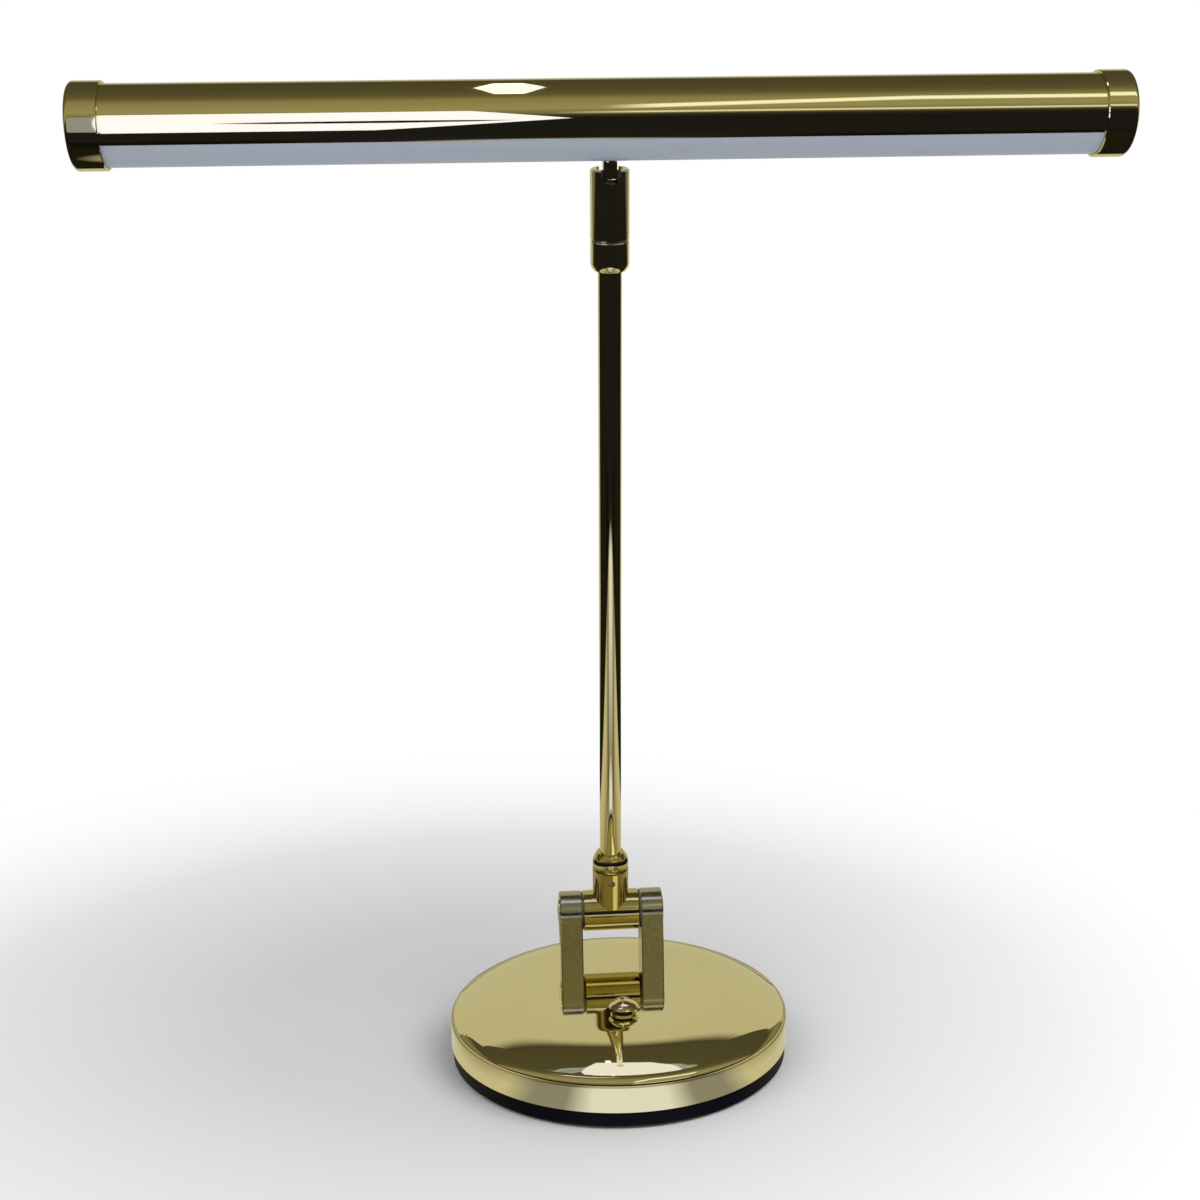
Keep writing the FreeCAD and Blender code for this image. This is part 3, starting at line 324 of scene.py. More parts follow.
@dataclass(frozen=True)
class Moulded(Finish):
    """Moulded plastic, rubber, board or felt with a fine grain."""

    roughness: float = 0.45
    grain: float = 900.0
    patch: float = 40.0
    contrast: float = 0.25
    depth: float = 0.00003
    specular: float = 0.5
    sheen: float = 0.0
    subsurface: float = 0.0

    def build(self) -> bpy.types.Material:
        """Builds the material.

        Returns:
            The finished material.
        """
        material, tree, shader = self.shell()
        group = self.place_group(tree, "surface_grain", Size=self.grain, Patch=self.patch)
        dark = tuple(c * (1.0 - self.contrast) for c in self.colour)
        light = tuple(min(1.0, c * (1.0 + self.contrast)) for c in self.colour)
        colour = self.tone(tree, group.outputs["Tone"], dark, light)
        tree.links.new(colour, shader.inputs["Base Color"])
        normal = self.bump(tree, group.outputs["Height"], self.depth, GRAIN_STRENGTH)
        tree.links.new(normal, shader.inputs["Normal"])
        spread = tree.nodes.new("ShaderNodeMapRange")
        spread.inputs["To Min"].default_value = self.roughness * 0.85
        spread.inputs["To Max"].default_value = min(1.0, self.roughness * 1.15)
        tree.links.new(group.outputs["Tone"], spread.inputs["Value"])
        tree.links.new(spread.outputs["Result"], shader.inputs["Roughness"])
        shader.inputs["Specular IOR Level"].default_value = self.specular
        shader.inputs["Sheen Weight"].default_value = self.sheen
        shader.inputs["Subsurface Weight"].default_value = self.subsurface
        shader.inputs["Subsurface Radius"].default_value = (0.004, 0.004, 0.004)
        return material


@dataclass
class FinishShelf:
    """Every finish of the lamp, built once and kept by name."""

    made: dict[str, bpy.types.Material] = field(default_factory=dict)

    def stock(self) -> None:
        """Builds the shared groups and all finishes."""
        polish_marks_group()
        grain_group()
        finishes = [
            Metal("brass_mirror", (0.88, 0.81, 0.50), Shine.MIRROR, marks=45.0, wave=0.01),
            Metal("brass_spun", (0.88, 0.81, 0.50), Shine.MIRROR, marks=30.0, wave=0.015),
            Metal("brass_turned", (0.88, 0.80, 0.48), Shine.POLISHED, marks=140.0),
            Metal("brass_cast", (0.64, 0.56, 0.26), Shine.POLISHED, marks=220.0, wave=0.04),
            # Painted shade: the ears' brass is made darker and greyer than the other brass, standing in for
            # the dark reflections on their faces
            Metal("brass_painted_shade", (0.50, 0.48, 0.40), Shine.BRUSHED, drift=0.10, marks=420.0, wave=0.10),
            Metal("steel_plated", (0.62, 0.62, 0.63), Shine.SATIN, marks=300.0),
            Metal("aluminium_plain", (0.78, 0.78, 0.79), Shine.PLAIN, marks=200.0),
            Moulded("iron_primed", (0.10, 0.10, 0.11), roughness=0.75, grain=500.0, depth=0.0002),
            Moulded("cover_black", (0.003, 0.003, 0.006), roughness=0.5, grain=1600.0, contrast=0.3,
                    specular=0.05),
            Moulded("felt_black", (0.022, 0.022, 0.024), roughness=0.95, grain=2600.0, contrast=0.5,
                    depth=0.0003, specular=0.1, sheen=0.4),
            # Painted shade: the pale opal diffuser is darkened to grey-blue, standing in for the shade on its
            # downward face
            Moulded("opal_plastic_painted_shade", (0.40, 0.45, 0.53), roughness=0.4, grain=400.0, patch=6.0,
                    contrast=0.03, depth=0.000004, subsurface=0.15),
            Moulded("board_green", (0.02, 0.15, 0.07), roughness=0.4, grain=1200.0, patch=90.0),
            Moulded("board_white", (0.80, 0.80, 0.78), roughness=0.45, grain=900.0, contrast=0.05),
            Moulded("case_dark", (0.05, 0.05, 0.055), roughness=0.5, grain=1500.0),
            Moulded("inlet_black", (0.014, 0.014, 0.015), roughness=0.42, grain=1800.0),
            Moulded("rubber_black", (0.03, 0.03, 0.03), roughness=0.7, grain=1300.0, specular=0.3),
            Moulded("washer_nylon", (0.07, 0.065, 0.06), roughness=0.55, grain=1100.0),
            Moulded("phosphor", (0.88, 0.72, 0.22), roughness=0.3, grain=2500.0, contrast=0.12),
        ]
        for finish in finishes:
            self.made[finish.name] = finish.build()

    def dress(self, frame: dict, nodes: list[str], finish: str) -> None:
        """Gives nodes of the frame a finish.

        Args:
            nodes: Names of the nodes.
            finish: Name of the finish.
        """
        for name in nodes:
            for slot in frame["nodes"][name].material_slots:
                slot.material = self.made[finish]


# ---------------------------------------------------------------- modelling helpers


def clear_selection() -> None:
    """Leaves nothing selected, so that an operator acts on the new piece alone."""
    bpy.ops.object.select_all(action="DESELECT")


def settle(piece: bpy.types.Object, name: str) -> bpy.types.Object:
    """Names a piece, puts its place into its mesh and shades it by angle.

    Args:
        piece: The modelled object.
        name: Its final name.

    Returns:
        The same object.
    """
    clear_selection()
    piece.select_set(True)
    bpy.context.view_layer.objects.active = piece
    bpy.ops.object.transform_apply(location=True, rotation=True, scale=True)
    bpy.ops.object.shade_smooth_by_angle(angle=SMOOTH_ANGLE)
    piece.name = name
    piece.data.name = name
    return piece


def bevel_edges(piece: bpy.types.Object, width: float, segments: int) -> None:
    """Rounds a piece's sharp edges with an applied bevel."""
    modifier = piece.modifiers.new("edge_round", "BEVEL")
    modifier.width = width
    modifier.segments = segments
    modifier.limit_method = "ANGLE"
    bpy.context.view_layer.objects.active = piece
    bpy.ops.object.modifier_apply(modifier=modifier.name)


# ---------------------------------------------------------------- sub-assemblies


@dataclass
class WeightedBase:
    """The round base: spun shell, cover, felt, ballast, driver and power inlet."""

    pin_radius: float = 1.12 * MM
    pin_reach: float = 7.0 * MM
    pin_inset: float = 1.4 * MM
    tip_long: float = 0.7 * MM
    tip_share: float = 0.55
    tip_round: float = 0.25 * MM

    def dress(self, frame: dict, shelf: FinishShelf) -> None:
        """Gives the base's nodes their finishes."""
        shelf.dress(frame, ["base_shell"], "brass_spun")
        shelf.dress(frame, ["bottom_cover"], "cover_black")
        shelf.dress(frame, ["felt_pad"], "felt_black")
        shelf.dress(frame, ["base_weight"], "iron_primed")
        shelf.dress(frame, ["cover_screws", "hinge_screws", "bush_nut"], "steel_plated")
        shelf.dress(frame, ["driver_board"], "board_green")
        shelf.dress(frame, ["driver_parts", "push_switch"], "case_dark")
        shelf.dress(frame, ["dc_inlet"], "inlet_black")
        shelf.dress(frame, ["lamp_lead"], "rubber_black")

    def build(self, shelf: FinishShelf) -> list[bpy.types.Object]:
        """Builds the plated contact pin inside the power inlet.

        Args:
            shelf: The finishes.

        Returns:
            The pin.
        """
        low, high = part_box("dc_inlet")
        height = (low.z + high.z) / 2
        mouth = high.y - self.pin_inset
        clear_selection()
        bpy.ops.mesh.primitive_cylinder_add(
            vertices=32, radius=self.pin_radius, depth=self.pin_reach,
            location=(0.0, mouth - self.pin_reach / 2, height), rotation=(math.pi / 2, 0.0, 0.0))
        pin = bpy.context.object
        bpy.ops.object.mode_set(mode="EDIT")
        bpy.ops.mesh.select_all(action="DESELECT")
        bpy.ops.object.mode_set(mode="OBJECT")
        for face in pin.data.polygons:
            face.select = face.normal.z < -0.9
        bpy.ops.object.mode_set(mode="EDIT")
        bpy.ops.mesh.extrude_region_move(TRANSFORM_OT_translate={"value": (0.0, self.tip_long, 0.0)})
        bpy.ops.transform.resize(value=(self.tip_share, 1.0, self.tip_share))
        bpy.ops.object.mode_set(mode="OBJECT")
        bevel_edges(pin, self.tip_round, 3)
        settle(pin, "inlet_pin")
        pin.data.materials.append(shelf.made["steel_plated"])
        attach(pin, Body.BASE.value)
        return [pin]


@dataclass
class PushButton:
    """The push button in its bush, with the soft sleeve that lifts it."""

    skin: float = 0.45 * MM
    clear: float = 0.03 * MM
    waist: float = 0.30 * MM
    rings: int = 6
    travel: float = 1.2 * MM

    def dress(self, frame: dict, shelf: FinishShelf) -> None:
        """Gives the button's nodes their finishes."""
        shelf.dress(frame, ["button_cap", "button_bush"], "brass_turned")
        shelf.dress(frame, ["button_clip"], "steel_plated")
        shelf.dress(frame, ["switch_plunger"], "case_dark")

    def build(self, shelf: FinishShelf) -> list[bpy.types.Object]:
        """Builds the ribbed soft sleeve under the button.

        Args:
            shelf: The finishes.

        Returns:
            The sleeve.
        """
        low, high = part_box("return_sleeve")
        tall = high.z - low.z - 2 * self.clear
        foot = low.z + self.clear
        radius = (high.x - low.x) / 2 - self.clear
        centre = (low + high) / 2
        clear_selection()
        bpy.ops.mesh.primitive_cylinder_add(vertices=48, radius=radius, depth=tall, end_fill_type="NOTHING",
                                            location=centre)
        sleeve = bpy.context.object
        bpy.ops.object.mode_set(mode="EDIT")
        bpy.ops.mesh.select_all(action="SELECT")
        for step in range(1, self.rings):
            height = foot + tall * step / self.rings
            bpy.ops.mesh.select_all(action="SELECT")
            bpy.ops.mesh.bisect(plane_co=(centre.x, centre.y, height), plane_no=(0.0, 0.0, 1.0))
            if step % 2:
                share = 1.0 - self.waist / radius
                bpy.ops.transform.resize(value=(share, share, 1.0), center_override=centre)
        bpy.ops.object.mode_set(mode="OBJECT")
        wall = sleeve.modifiers.new("wall", "SOLIDIFY")
        wall.thickness = self.skin
        wall.offset = -1.0
        bpy.context.view_layer.objects.active = sleeve
        bpy.ops.object.modifier_apply(modifier=wall.name)
        settle(sleeve, "return_bellows")
        sleeve.data.materials.append(shelf.made["rubber_black"])
        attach(sleeve, Body.BASE.value)
        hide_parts("return_sleeve")
        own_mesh(sleeve)
        return [sleeve]


@dataclass
class HingeStand:
    """The two ears on the base and the knuckle that folds between them."""

    def dress(self, frame: dict, shelf: FinishShelf) -> None:
        """Gives the hinge's nodes their finishes."""
        # Painted shade: the ears get the darkened brass
        shelf.dress(frame, ["hinge_ear_left", "hinge_ear_right"], "brass_painted_shade")
        shelf.dress(frame, ["hinge_stub_left", "hinge_stub_right"], "brass_turned")
        shelf.dress(frame, ["friction_washers"], "washer_nylon")
        shelf.dress(frame, ["hinge_knuckle", "collar_ring"], "brass_cast")
        shelf.dress(frame, ["grub_screw"], "steel_plated")


@dataclass
class LeaningStem:
    """The stem tube with the fixed lower half of the swivel."""

    def dress(self, frame: dict, shelf: FinishShelf) -> None:
        """Gives the stem's nodes their finishes."""
        shelf.dress(frame, ["stem_tube"], "brass_mirror")
        shelf.dress(frame, ["lower_sleeve"], "brass_turned")
        shelf.dress(frame, ["swivel_spindle", "spindle_nut"], "steel_plated")
        shelf.dress(frame, ["swivel_washer"], "washer_nylon")
        shelf.dress(frame, ["stem_wire"], "rubber_black")


@dataclass
class TubeHead:
    """The fork, the tube shade, its diffuser and its row of light chips."""

    chip_high: float = 0.7 * MM
    dome_radius: float = 1.05 * MM
    dome_long: float = 1.4 * MM
    dome_rise: float = 0.35 * MM
    chip_gap: float = 5.0 * MM

    def dress(self, frame: dict, shelf: FinishShelf) -> None:
        """Gives the head's nodes their finishes."""
        shelf.dress(frame, ["swivel_fork", "neck_tongue"], "brass_turned")
        shelf.dress(frame, ["tilt_pin", "neck_nut"], "steel_plated")
        shelf.dress(frame, ["tilt_spacers"], "washer_nylon")
        shelf.dress(frame, ["shade_tube", "end_cap_left", "end_cap_right"], "brass_mirror")
        # Painted shade: the diffuser's finish is darkened to grey-blue
        shelf.dress(frame, ["diffuser"], "opal_plastic_painted_shade")
        shelf.dress(frame, ["led_carrier"], "aluminium_plain")
        shelf.dress(frame, ["led_board"], "board_white")
        shelf.dress(frame, ["leds"], "board_white")

    def build(self, frame: dict, shelf: FinishShelf) -> list[bpy.types.Object]:
        """Builds the yellow phosphor dome of each light chip, one modelled and the rest copied.

        Args:
            shelf: The finishes.

        Returns:
            The joined row of domes.
        """
        chips = self.chip_centres(frame["nodes"]["leds"])
        down = -self.head_axis(frame)
        clear_selection()
        bpy.ops.mesh.primitive_uv_sphere_add(segments=16, ring_count=10, radius=self.dome_radius)
        first = bpy.context.object
        bpy.ops.object.mode_set(mode="EDIT")
        bpy.ops.mesh.select_all(action="SELECT")
        bpy.ops.mesh.bisect(plane_co=(0.0, 0.0, 0.0), plane_no=(0.0, 0.0, 1.0), clear_outer=True,
                            use_fill=True)
        bpy.ops.object.mode_set(mode="OBJECT")
        first.scale = (self.dome_long / self.dome_radius, 1.0, self.dome_rise / self.dome_radius)
        first.rotation_euler = (math.atan2(down.y, -down.z), 0.0, 0.0)
        first.location = chips[0] + down * (self.chip_high / 2)
        settle(first, "phosphor_domes")
        copies = [first]
        for centre in chips[1:]:
            twin = first.copy()
            twin.data = first.data.copy()
            twin.data.transform(Matrix.Translation(centre - chips[0]))
            bpy.context.scene.collection.objects.link(twin)
            copies.append(twin)
        clear_selection()
        for piece in copies:
            piece.select_set(True)
        bpy.context.view_layer.objects.active = first
        bpy.ops.object.join()
        first.data.materials.append(shelf.made["phosphor"])
        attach(first, Body.HEAD.value)
        return [first]

    def head_axis(self, frame: dict) -> Vector:
        """Gives the swivel axis of the head, which the light chips face away from."""
        for joint in frame["joints"]:
            if joint["name"] == "head_swivel":
                return Vector(joint["axis"]).normalized()
        return Vector((0.0, 0.0, 1.0))

    def chip_centres(self, chips: bpy.types.Object) -> list[Vector]:
        """Finds the centre of each chip from the gaps between them along X.

        Args:
            chips: The node with all chips.

        Returns:
            One centre for each chip, from left to right.
        """
        points = sorted((v.co.copy() for v in chips.data.vertices), key=lambda p: p.x)
        groups: list[list[Vector]] = [[points[0]]]
        for point in points[1:]:
            if point.x - groups[-1][0].x > self.chip_gap:
                groups.append([])
            groups[-1].append(point)
        centres = []
        for group in groups:
            low = Vector((min(p.x for p in group), min(p.y for p in group), min(p.z for p in group)))
            high = Vector((max(p.x for p in group), max(p.y for p in group), max(p.z for p in group)))
            centres.append((low + high) / 2)
        return centres


# ---------------------------------------------------------------- studio


def fill_ramp(ramp: bpy.types.Node, stops: list[tuple[float, Colour]]) -> None:
    """Sets the stops of a colour ramp.

    Args:
        ramp: The ramp node.
        stops: Positions and colours, from 0 to 1.
    """
    elements = ramp.color_ramp.elements
    elements[0].position, elements[0].color = stops[0][0], (*stops[0][1], 1.0)
    elements[1].position, elements[1].color = stops[-1][0], (*stops[-1][1], 1.0)
    for position, tone in stops[1:-1]:
        made = elements.new(position)
        made.color = (*tone, 1.0)


@dataclass
class Studio:
    """Pale floor, white background, soft lamps and the cards that the brass mirrors."""

    floor_front: float = -0.39
    floor_back: float = 3.2
    floor_side: float = 3.0
    back_height: float = 1.0
    # Size of the oval of the painted floor reflection
    painted_reflection_side: float = 0.28
    painted_reflection_front: float = 0.385
    wall_away: float = 0.43
    window_away: float = -0.16
    bar_away: float = -0.158
    lamp_height: float = 0.60
    diffuser_reflection_height: float = 0.325

    def card(self, name: str, corners: list[Colour], facing: Colour, colour: Colour,
             fade: tuple[float, float, Colour] | None = None) -> bpy.types.Object:
        """Builds a flat card that glows on one side and that only reflections see.

        Args:
            name: Name of the card.
            corners: Its corners in order.
            facing: Direction of its glowing side.
            colour: Its colour, where 1 is white.
            fade: Height where the colour starts to change, height where it ends, and the colour there.

        Returns:
            The card, marked as stage.
        """
        mesh = bpy.data.meshes.new(name)
        mesh.from_pydata(corners, [], [tuple(range(len(corners)))])
        mesh.update()
        if mesh.polygons[0].normal.dot(Vector(facing)) < 0.0:
            mesh.flip_normals()
        card = bpy.data.objects.new(name, mesh)
        bpy.context.scene.collection.objects.link(card)
        material = bpy.data.materials.new(name)
        material.use_nodes = True
        tree = material.node_tree
        nodes, links = tree.nodes, tree.links
        nodes.clear()
        glow = nodes.new("ShaderNodeEmission")
        glow.inputs["Color"].default_value = (*colour, 1.0)
        if fade is not None:
            place = nodes.new("ShaderNodeTexCoord")
            parts = nodes.new("ShaderNodeSeparateXYZ")
            spread = nodes.new("ShaderNodeMapRange")
            spread.interpolation_type = "SMOOTHSTEP"
            spread.inputs["From Min"].default_value = fade[0]
            spread.inputs["From Max"].default_value = fade[1]
            mix = nodes.new("ShaderNodeMix")
            mix.data_type = "RGBA"
            mix.inputs["A"].default_value = (*colour, 1.0)
            mix.inputs["B"].default_value = (*fade[2], 1.0)
            links.new(place.outputs["Object"], parts.inputs[0])
            links.new(parts.outputs["Z"], spread.inputs["Value"])
            links.new(spread.outputs["Result"], mix.inputs["Factor"])
            links.new(mix.outputs["Result"], glow.inputs["Color"])
        clear = nodes.new("ShaderNodeBsdfTransparent")
        side = nodes.new("ShaderNodeNewGeometry")
        blend = nodes.new("ShaderNodeMixShader")
        out = nodes.new("ShaderNodeOutputMaterial")
        links.new(side.outputs["Backfacing"], blend.inputs[0])
        links.new(glow.outputs[0], blend.inputs[1])
        links.new(clear.outputs[0], blend.inputs[2])
        links.new(blend.outputs[0], out.inputs["Surface"])
        mesh.materials.append(material)
        card.visible_camera = False
        card.visible_diffuse = False
        card.visible_shadow = False
        return card

    def floor(self) -> None:
        """Builds the pale floor with a painted shadow, greyer around the lamp and white far off."""
        clear_selection()
        depth = self.floor_back - self.floor_front
        middle = (self.floor_back + self.floor_front) / 2
        bpy.ops.mesh.primitive_plane_add(size=1.0, location=(0.0, middle, 0.0))
        plane = bpy.context.object
        plane.scale = (self.floor_side * 2, depth, 1.0)
        bpy.ops.object.transform_apply(location=True, rotation=True, scale=True)
        plane.name = "studio_floor"
        material = bpy.data.materials.new("floor_paper")
        material.use_nodes = True
        tree = material.node_tree
        nodes, links = tree.nodes, tree.links
        shader = nodes["Principled BSDF"]
        shader.inputs["Roughness"].default_value = 0.85
        shader.inputs["Specular IOR Level"].default_value = 0.1
        place = nodes.new("ShaderNodeTexCoord")
        shift = nodes.new("ShaderNodeMapping")
        shift.inputs["Location"].default_value = (0.055, -0.05, 0.0)
        shift.inputs["Scale"].default_value = (1.0, 1.05, 1.0)
        far = nodes.new("ShaderNodeVectorMath")
        far.operation = "LENGTH"
        ramp = nodes.new("ShaderNodeValToRGB")
        spread = nodes.new("ShaderNodeMath")
        spread.operation = "DIVIDE"
        spread.inputs[1].default_value = 0.48
        # Painted shadow: the floor's colour greys towards a centre set a little off the lamp
        stops = [(0.0, 0.47), (0.22, 0.50), (0.45, 0.62), (0.75, 0.80), (1.0, 0.94)]
        fill_ramp(ramp, [(position, (value, value, value)) for position, value in stops])
        white = nodes.new("ShaderNodeEmission")
        white.inputs["Strength"].default_value = 1.0
        edge = nodes.new("ShaderNodeMapRange")
        edge.inputs["From Min"].default_value = 0.25
        edge.inputs["From Max"].default_value = 0.46
        blend = nodes.new("ShaderNodeMixShader")
        links.new(place.outputs["Object"], shift.inputs["Vector"])
        links.new(shift.outputs["Vector"], far.inputs[0])
        links.new(far.outputs["Value"], spread.inputs[0])
        links.new(spread.outputs[0], ramp.inputs["Fac"])
        links.new(ramp.outputs["Color"], shader.inputs["Base Color"])
        links.new(far.outputs["Value"], edge.inputs["Value"])
        links.new(edge.outputs["Result"], blend.inputs[0])
        links.new(shader.outputs[0], blend.inputs[1])
        links.new(white.outputs[0], blend.inputs[2])
        # Painted reflection: glossy rays see a glowing painted tone instead of the floor itself
        painted_reflection_glow = nodes.new("ShaderNodeEmission")
        links.new(self.painted_floor_reflection(tree), painted_reflection_glow.inputs["Color"])
        path = nodes.new("ShaderNodeLightPath")
        seen = nodes.new("ShaderNodeMixShader")
        links.new(path.outputs["Is Glossy Ray"], seen.inputs[0])
        links.new(blend.outputs[0], seen.inputs[1])
        links.new(painted_reflection_glow.outputs[0], seen.inputs[2])
        links.new(seen.outputs[0], nodes["Material Output"].inputs["Surface"])
        plane.data.materials.append(material)

    def painted_floor_reflection(self, tree: bpy.types.ShaderNodeTree) -> bpy.types.NodeSocket:
        """Builds a painted reflection: the floor's tone as only glossy rays see it, bright in front, two dim
        lobes beside it.

        Args:
            tree: The floor material's node tree.

        Returns:
            The colour's socket.
        """
        nodes, links = tree.nodes, tree.links
        place = nodes.new("ShaderNodeTexCoord")
        parts = nodes.new("ShaderNodeSeparateXYZ")
        links.new(place.outputs["Object"], parts.inputs[0])
        ahead = nodes.new("ShaderNodeMath")
        ahead.operation = "MULTIPLY"
        ahead.inputs[1].default_value = -1.0
        links.new(parts.outputs["Y"], ahead.inputs[0])
        turn = nodes.new("ShaderNodeMath")
        turn.operation = "ARCTAN2"
        links.new(parts.outputs["X"], turn.inputs[0])
        links.new(ahead.outputs[0], turn.inputs[1])
        size = nodes.new("ShaderNodeMath")
        size.operation = "ABSOLUTE"
        links.new(turn.outputs[0], size.inputs[0])
        share = nodes.new("ShaderNodeMath")
        share.operation = "DIVIDE"
        share.inputs[1].default_value = math.pi
        links.new(size.outputs[0], share.inputs[0])
        # Painted reflection: dim lobes to each side of the bright front
        lobes = nodes.new("ShaderNodeValToRGB")
        fill_ramp(lobes, [(0.0, (0.84, 0.86, 0.97)), (0.085, (0.84, 0.86, 0.92)), (0.145, (0.29, 0.28, 0.26)),
                          (0.225, (0.29, 0.28, 0.26)), (0.30, (0.64, 0.60, 0.44)), (0.6, (0.60, 0.57, 0.42)),
                          (1.0, (0.50, 0.48, 0.34))])
        links.new(share.outputs[0], lobes.inputs["Fac"])
        oval = nodes.new("ShaderNodeMapping")
        oval.inputs["Scale"].default_value = (1.0 / self.painted_reflection_side, 1.0 / self.painted_reflection_front, 1.0)
        links.new(place.outputs["Object"], oval.inputs["Vector"])
        far = nodes.new("ShaderNodeVectorMath")
        far.operation = "LENGTH"
        links.new(oval.outputs["Vector"], far.inputs[0])
        # Painted reflection: rings of an oval around the lamp, black beyond its edge
        rings = nodes.new("ShaderNodeValToRGB")
        fill_ramp(rings, [(0.0, (1.0, 1.0, 1.0)), (0.29, (1.0, 1.0, 1.0)), (0.36, (0.40, 0.37, 0.26)),
                          (0.50, (0.70, 0.66, 0.55)), (0.68, (0.95, 0.92, 0.84)), (0.87, (0.95, 0.92, 0.84)),
                          (0.96, (0.02, 0.018, 0.015))])
        links.new(far.outputs["Value"], rings.inputs["Fac"])
        both = nodes.new("ShaderNodeMix")
        both.data_type = "RGBA"
        both.blend_type = "MULTIPLY"
        both.inputs["Factor"].default_value = 1.0
        links.new(lobes.outputs["Color"], both.inputs["A"])
        links.new(rings.outputs["Color"], both.inputs["B"])
        return both.outputs["Result"]

    def backdrop(self) -> None:
        """Builds the white backdrop that the camera sees."""
        side, back, top = self.floor_side, self.floor_back, self.back_height
        corners = [(-side, back, 0.0), (side, back, 0.0), (side, back, top), (-side, back, top)]
        card = self.card("backdrop", corners, (0.0, -1.0, 0.0), (1.0, 1.0, 1.0))
        card.visible_camera = True
        card.visible_diffuse = True
        card.visible_glossy = False

    def cards(self) -> None:
        """Builds what the brass mirrors: the wall, the window, the lamp above and a painted reflection of the
        diffuser under the shade.
        """
        self.card("back_wall",
                  [(x, self.wall_away, z) for x, z in
                   ((-0.55, 0.0), (0.55, 0.0), (0.55, 0.9), (-0.55, 0.9))],
                  (0.0, -1.0, 0.0), (0.56, 0.53, 0.37), (0.58, 0.85, (0.07, 0.06, 0.03)))
        self.card("front_window",
                  [(x, self.window_away, z) for x, z in
                   ((-0.203, 0.318), (-0.09, 0.318), (-0.008, 0.376), (-0.05, 0.425), (-0.203, 0.425))],
                  (0.0, 1.0, 0.0), (1.2, 1.22, 1.8))
        self.card("window_side",
                  [(x, self.window_away, z) for x, z in
                   ((-0.27, 0.335), (-0.203, 0.330), (-0.203, 0.410), (-0.27, 0.405))],
                  (0.0, 1.0, 0.0), (0.30, 0.34, 0.40))
        self.card("window_bar",
                  [(x, self.bar_away, z) for x, z in
                   ((-0.156, 0.369), (-0.13, 0.363), (-0.08, 0.361), (-0.05, 0.364),
                    (-0.030, 0.369), (-0.05, 0.372), (-0.08, 0.374), (-0.13, 0.373))],
                  (0.0, 1.0, 0.0), (0.012, 0.011, 0.012))
        self.card("overhead_lamp",
                  [(-0.031 + x, -0.015 + y, self.lamp_height) for x, y in
                   ((-0.017, 0.0), (-0.007, -0.095), (0.007, -0.095), (0.017, 0.0), (0.007, 0.095),
                    (-0.007, 0.095))],
                  (0.0, 0.0, -1.0), (1.6, 1.58, 1.7))
        # Painted reflection: a glowing card just under the shade, which the base mirrors as a bright
        # underside of the diffuser
        self.card("painted_diffuser_reflection",
                  [(x, y, self.diffuser_reflection_height) for x, y in
                   ((-0.085, -0.050), (-0.06, -0.080), (0.05, -0.080), (0.125, -0.066), (0.14, -0.045),
                    (0.06, -0.010), (-0.045, 0.0))],
                  (0.0, 0.0, -1.0), (0.95, 0.97, 1.2))

    def lamps(self) -> None:
        """Builds the soft lamps that light the matt surfaces; the cards and the room shape the mirrors."""
        for name, spot, turn, size, power in (
            ("key_lamp", (0.9, -0.7, 1.5), (math.radians(38), 0.0, math.radians(48)), 1.3, 26.0),
            ("fill_lamp", (-1.1, -0.9, 1.1), (math.radians(52), 0.0, math.radians(-50)), 1.4, 12.0),
        ):
            data = bpy.data.lights.new(name, "AREA")
            data.shape = "SQUARE"
            data.size = size
            data.energy = power
            lamp = bpy.data.objects.new(name, data)
            lamp.location = spot
            lamp.rotation_euler = turn
            lamp.visible_glossy = False
            bpy.context.scene.collection.objects.link(lamp)

    def room(self) -> None:
        """Builds the world: white for the camera, grey for matt surfaces, a dim room for mirrors."""
        world = bpy.data.worlds.new("studio_room")
        bpy.context.scene.world = world
        world.use_nodes = True
        tree = world.node_tree
        nodes, links = tree.nodes, tree.links
        nodes.clear()
        room = RoomLight(tree)
        path = nodes.new("ShaderNodeLightPath")
        matt = nodes.new("ShaderNodeMix")
        matt.data_type = "RGBA"
        matt.inputs["B"].default_value = (0.62, 0.62, 0.64, 1.0)
        links.new(path.outputs["Is Diffuse Ray"], matt.inputs["Factor"])
        links.new(room.colour(), matt.inputs["A"])
        seen = nodes.new("ShaderNodeMix")
        seen.data_type = "RGBA"
        seen.inputs["B"].default_value = (1.0, 1.0, 1.0, 1.0)
        links.new(path.outputs["Is Camera Ray"], seen.inputs["Factor"])
        links.new(matt.outputs["Result"], seen.inputs["A"])
        background = nodes.new("ShaderNodeBackground")
        output = nodes.new("ShaderNodeOutputWorld")
        links.new(seen.outputs["Result"], background.inputs["Color"])
        links.new(background.outputs[0], output.inputs["Surface"])

    def build(self) -> None:
        """Builds the whole studio."""
        self.floor()
        self.backdrop()
        self.cards()
        self.lamps()
        self.room()


